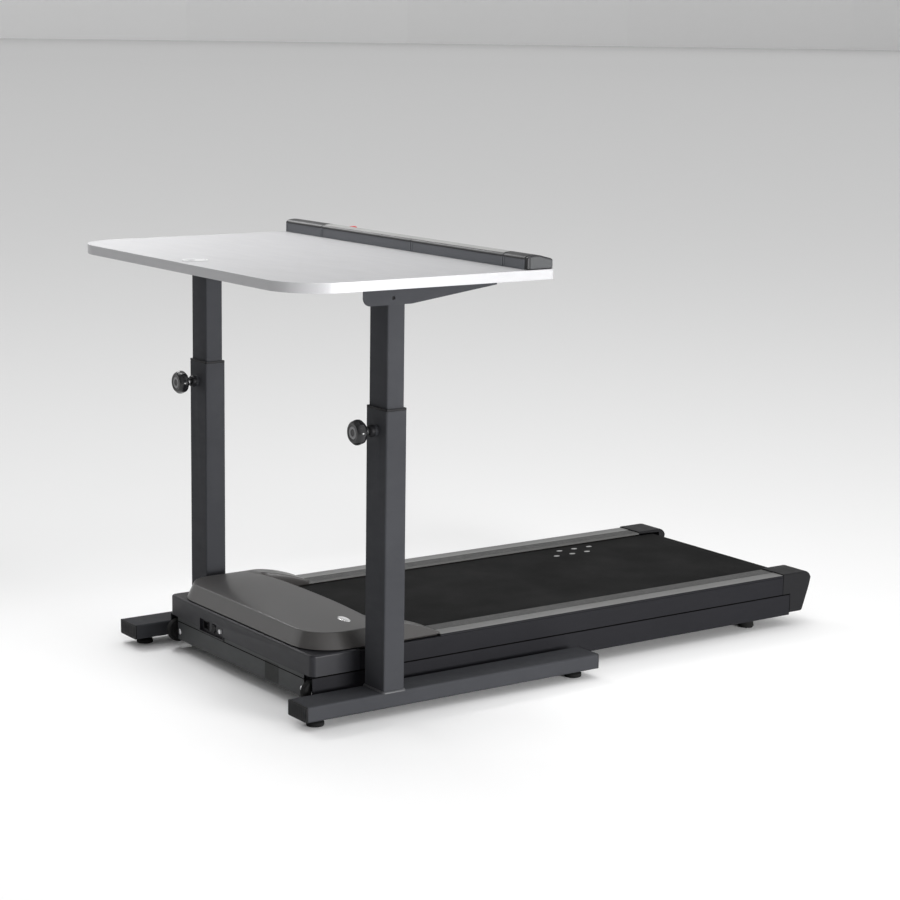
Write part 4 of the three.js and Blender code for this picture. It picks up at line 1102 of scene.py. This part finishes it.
# ---------- camera, light and floor ----------
def set_camera():
    """A camera at the near front corner, turned by its heading from +Y, its dip and a slight roll."""
    place_at = Vector((4.92488, -3.53588, 1.66376))
    heading, dip, roll = math.radians(54.983), math.radians(10.393), math.radians(0.785)
    ahead = Vector((-math.sin(heading) * math.cos(dip), math.cos(heading) * math.cos(dip), -math.sin(dip)))
    right = Vector((math.cos(heading), math.sin(heading), 0))
    up = right.cross(ahead)
    across = right * math.cos(roll) + up * math.sin(roll)
    over = up * math.cos(roll) - right * math.sin(roll)
    data = bpy.data.cameras.new("camera")
    data.lens = 91.65
    data.shift_y = -0.0121
    data.clip_start, data.clip_end = 0.1, 500
    camera = bpy.data.objects.new("camera", data)
    turn = Matrix((across, over, -ahead)).transposed().to_4x4()
    camera.matrix_world = Matrix.Translation(place_at) @ turn
    bpy.context.scene.collection.objects.link(camera)
    bpy.context.scene.camera = camera


def area_light(name, at, aim, size, watts, spread=math.pi):
    data = bpy.data.lights.new(name, "AREA")
    data.shape = "RECTANGLE"
    data.size, data.size_y = size
    data.energy = watts
    data.spread = spread
    light = bpy.data.objects.new(name, data)
    light.location = at
    light.rotation_euler = (Vector(aim) - Vector(at)).to_track_quat("-Z", "Y").to_euler()
    bpy.context.scene.collection.objects.link(light)


WORLD_REGIONS = (  # middle direction, cosine at the edge, strength outside and added in the middle
    ((0.93, 0.30, 0.20), 0.1, 0.27, 1.05),
    ((0.0, 0.0, 1.0), 0.05, 0.0, 0.20),
    ((-0.35, 0.35, 0.87), 0.55, 0.0, 0.95),
    ((-0.75, -0.55, 0.28), 0.88, 0.0, 1.70),
)


def set_world():
    """Dim studio air with a few soft brighter regions, each given by its middle and its reach."""
    world = bpy.data.worlds.new("studio")
    world.use_nodes = True
    tree = world.node_tree
    tree.nodes.clear()
    heading = tree.nodes.new("ShaderNodeTexCoord").outputs["Generated"]
    total = None
    for direction, low, start, end in WORLD_REGIONS:
        dot = tree.nodes.new("ShaderNodeVectorMath")
        dot.operation = "DOT_PRODUCT"
        dot.inputs[1].default_value = Vector(direction).normalized()
        tree.links.new(heading, dot.inputs[0])
        step = tree.nodes.new("ShaderNodeMapRange")
        step.interpolation_type = "SMOOTHSTEP"
        tree.links.new(dot.outputs["Value"], step.inputs["Value"])
        for key, number in (("From Min", low), ("From Max", 1.0), ("To Min", start), ("To Max", end)):
            step.inputs[key].default_value = number
        if total is None:
            total = step.outputs[0]
            continue
        add = tree.nodes.new("ShaderNodeMath")
        tree.links.new(total, add.inputs[0])
        tree.links.new(step.outputs[0], add.inputs[1])
        total = add.outputs[0]
    background = tree.nodes.new("ShaderNodeBackground")
    tree.links.new(total, background.inputs["Strength"])
    tree.links.new(background.outputs[0], tree.nodes.new("ShaderNodeOutputWorld").inputs[0])
    bpy.context.scene.world = world


def floor_finish(name, near, far):
    """Pale studio surface that greys with distance from the object: a painted falloff of light, palest near
    the object.
    """
    g = Graph(name)
    length = g.node("ShaderNodeVectorMath", {0: g.place}, operation="LENGTH")
    decades = g.maths("LOGARITHM", length.outputs["Value"], 10)
    painted_light_falloff = g.maths("POWER", g.ramp(decades, 0.0, 1.9), 0.7)
    tone = g.mix(painted_light_falloff, (near, near, near, 1), (far, far, far, 1))
    scuffs = g.ramp(g.noise(2, 3), 0.3, 0.7, 0, 0.03)
    g.coat(g.mix(scuffs, tone, (0.8, 0.8, 0.8, 1)), 0.9)
    g.shader.inputs["Specular IOR Level"].default_value = 0.1
    return g.material


def set_floor():
    """A round floor with a low wall at its far edge, so no bare horizon shows."""
    reach, below, wall_height = 150, -0.0002, 25
    edge = circle((0, 0), reach, 64)
    bm = bmesh.new()
    bm.faces.new(ring_of(bm, [(x, y, below) for x, y in edge]))
    floor = stage_piece("floor", bm, floor_finish("studio floor", 0.96, 0.64))
    bm = bmesh.new()
    skin(bm, [ring_of(bm, [(x, y, z) for x, y in edge]) for z in (below, wall_height)])
    wall = stage_piece("wall", bm, floor_finish("studio wall", 0.98, 0.98))


def stage_piece(name, bm, finish):
    made = mesh_object(name, bm)
    made.data.materials.append(finish)
    return made


set_camera()
set_world()
set_floor()
area_light("overhead", (-1.0, 0.5, 8.5), (0, 0, 0), (4.0, 4.0), 115)
area_light("side", (7.0, 1.2, 0.95), (0, -0.2, 0.6), (3.0, 1.3), 600)
area_light("desk far", (-1.9, -0.6, 2.4), (-0.5, -0.7, 1.08), (1.2, 1.2), 5.0, math.radians(60))
bpy.context.scene.view_settings.view_transform = "Standard"
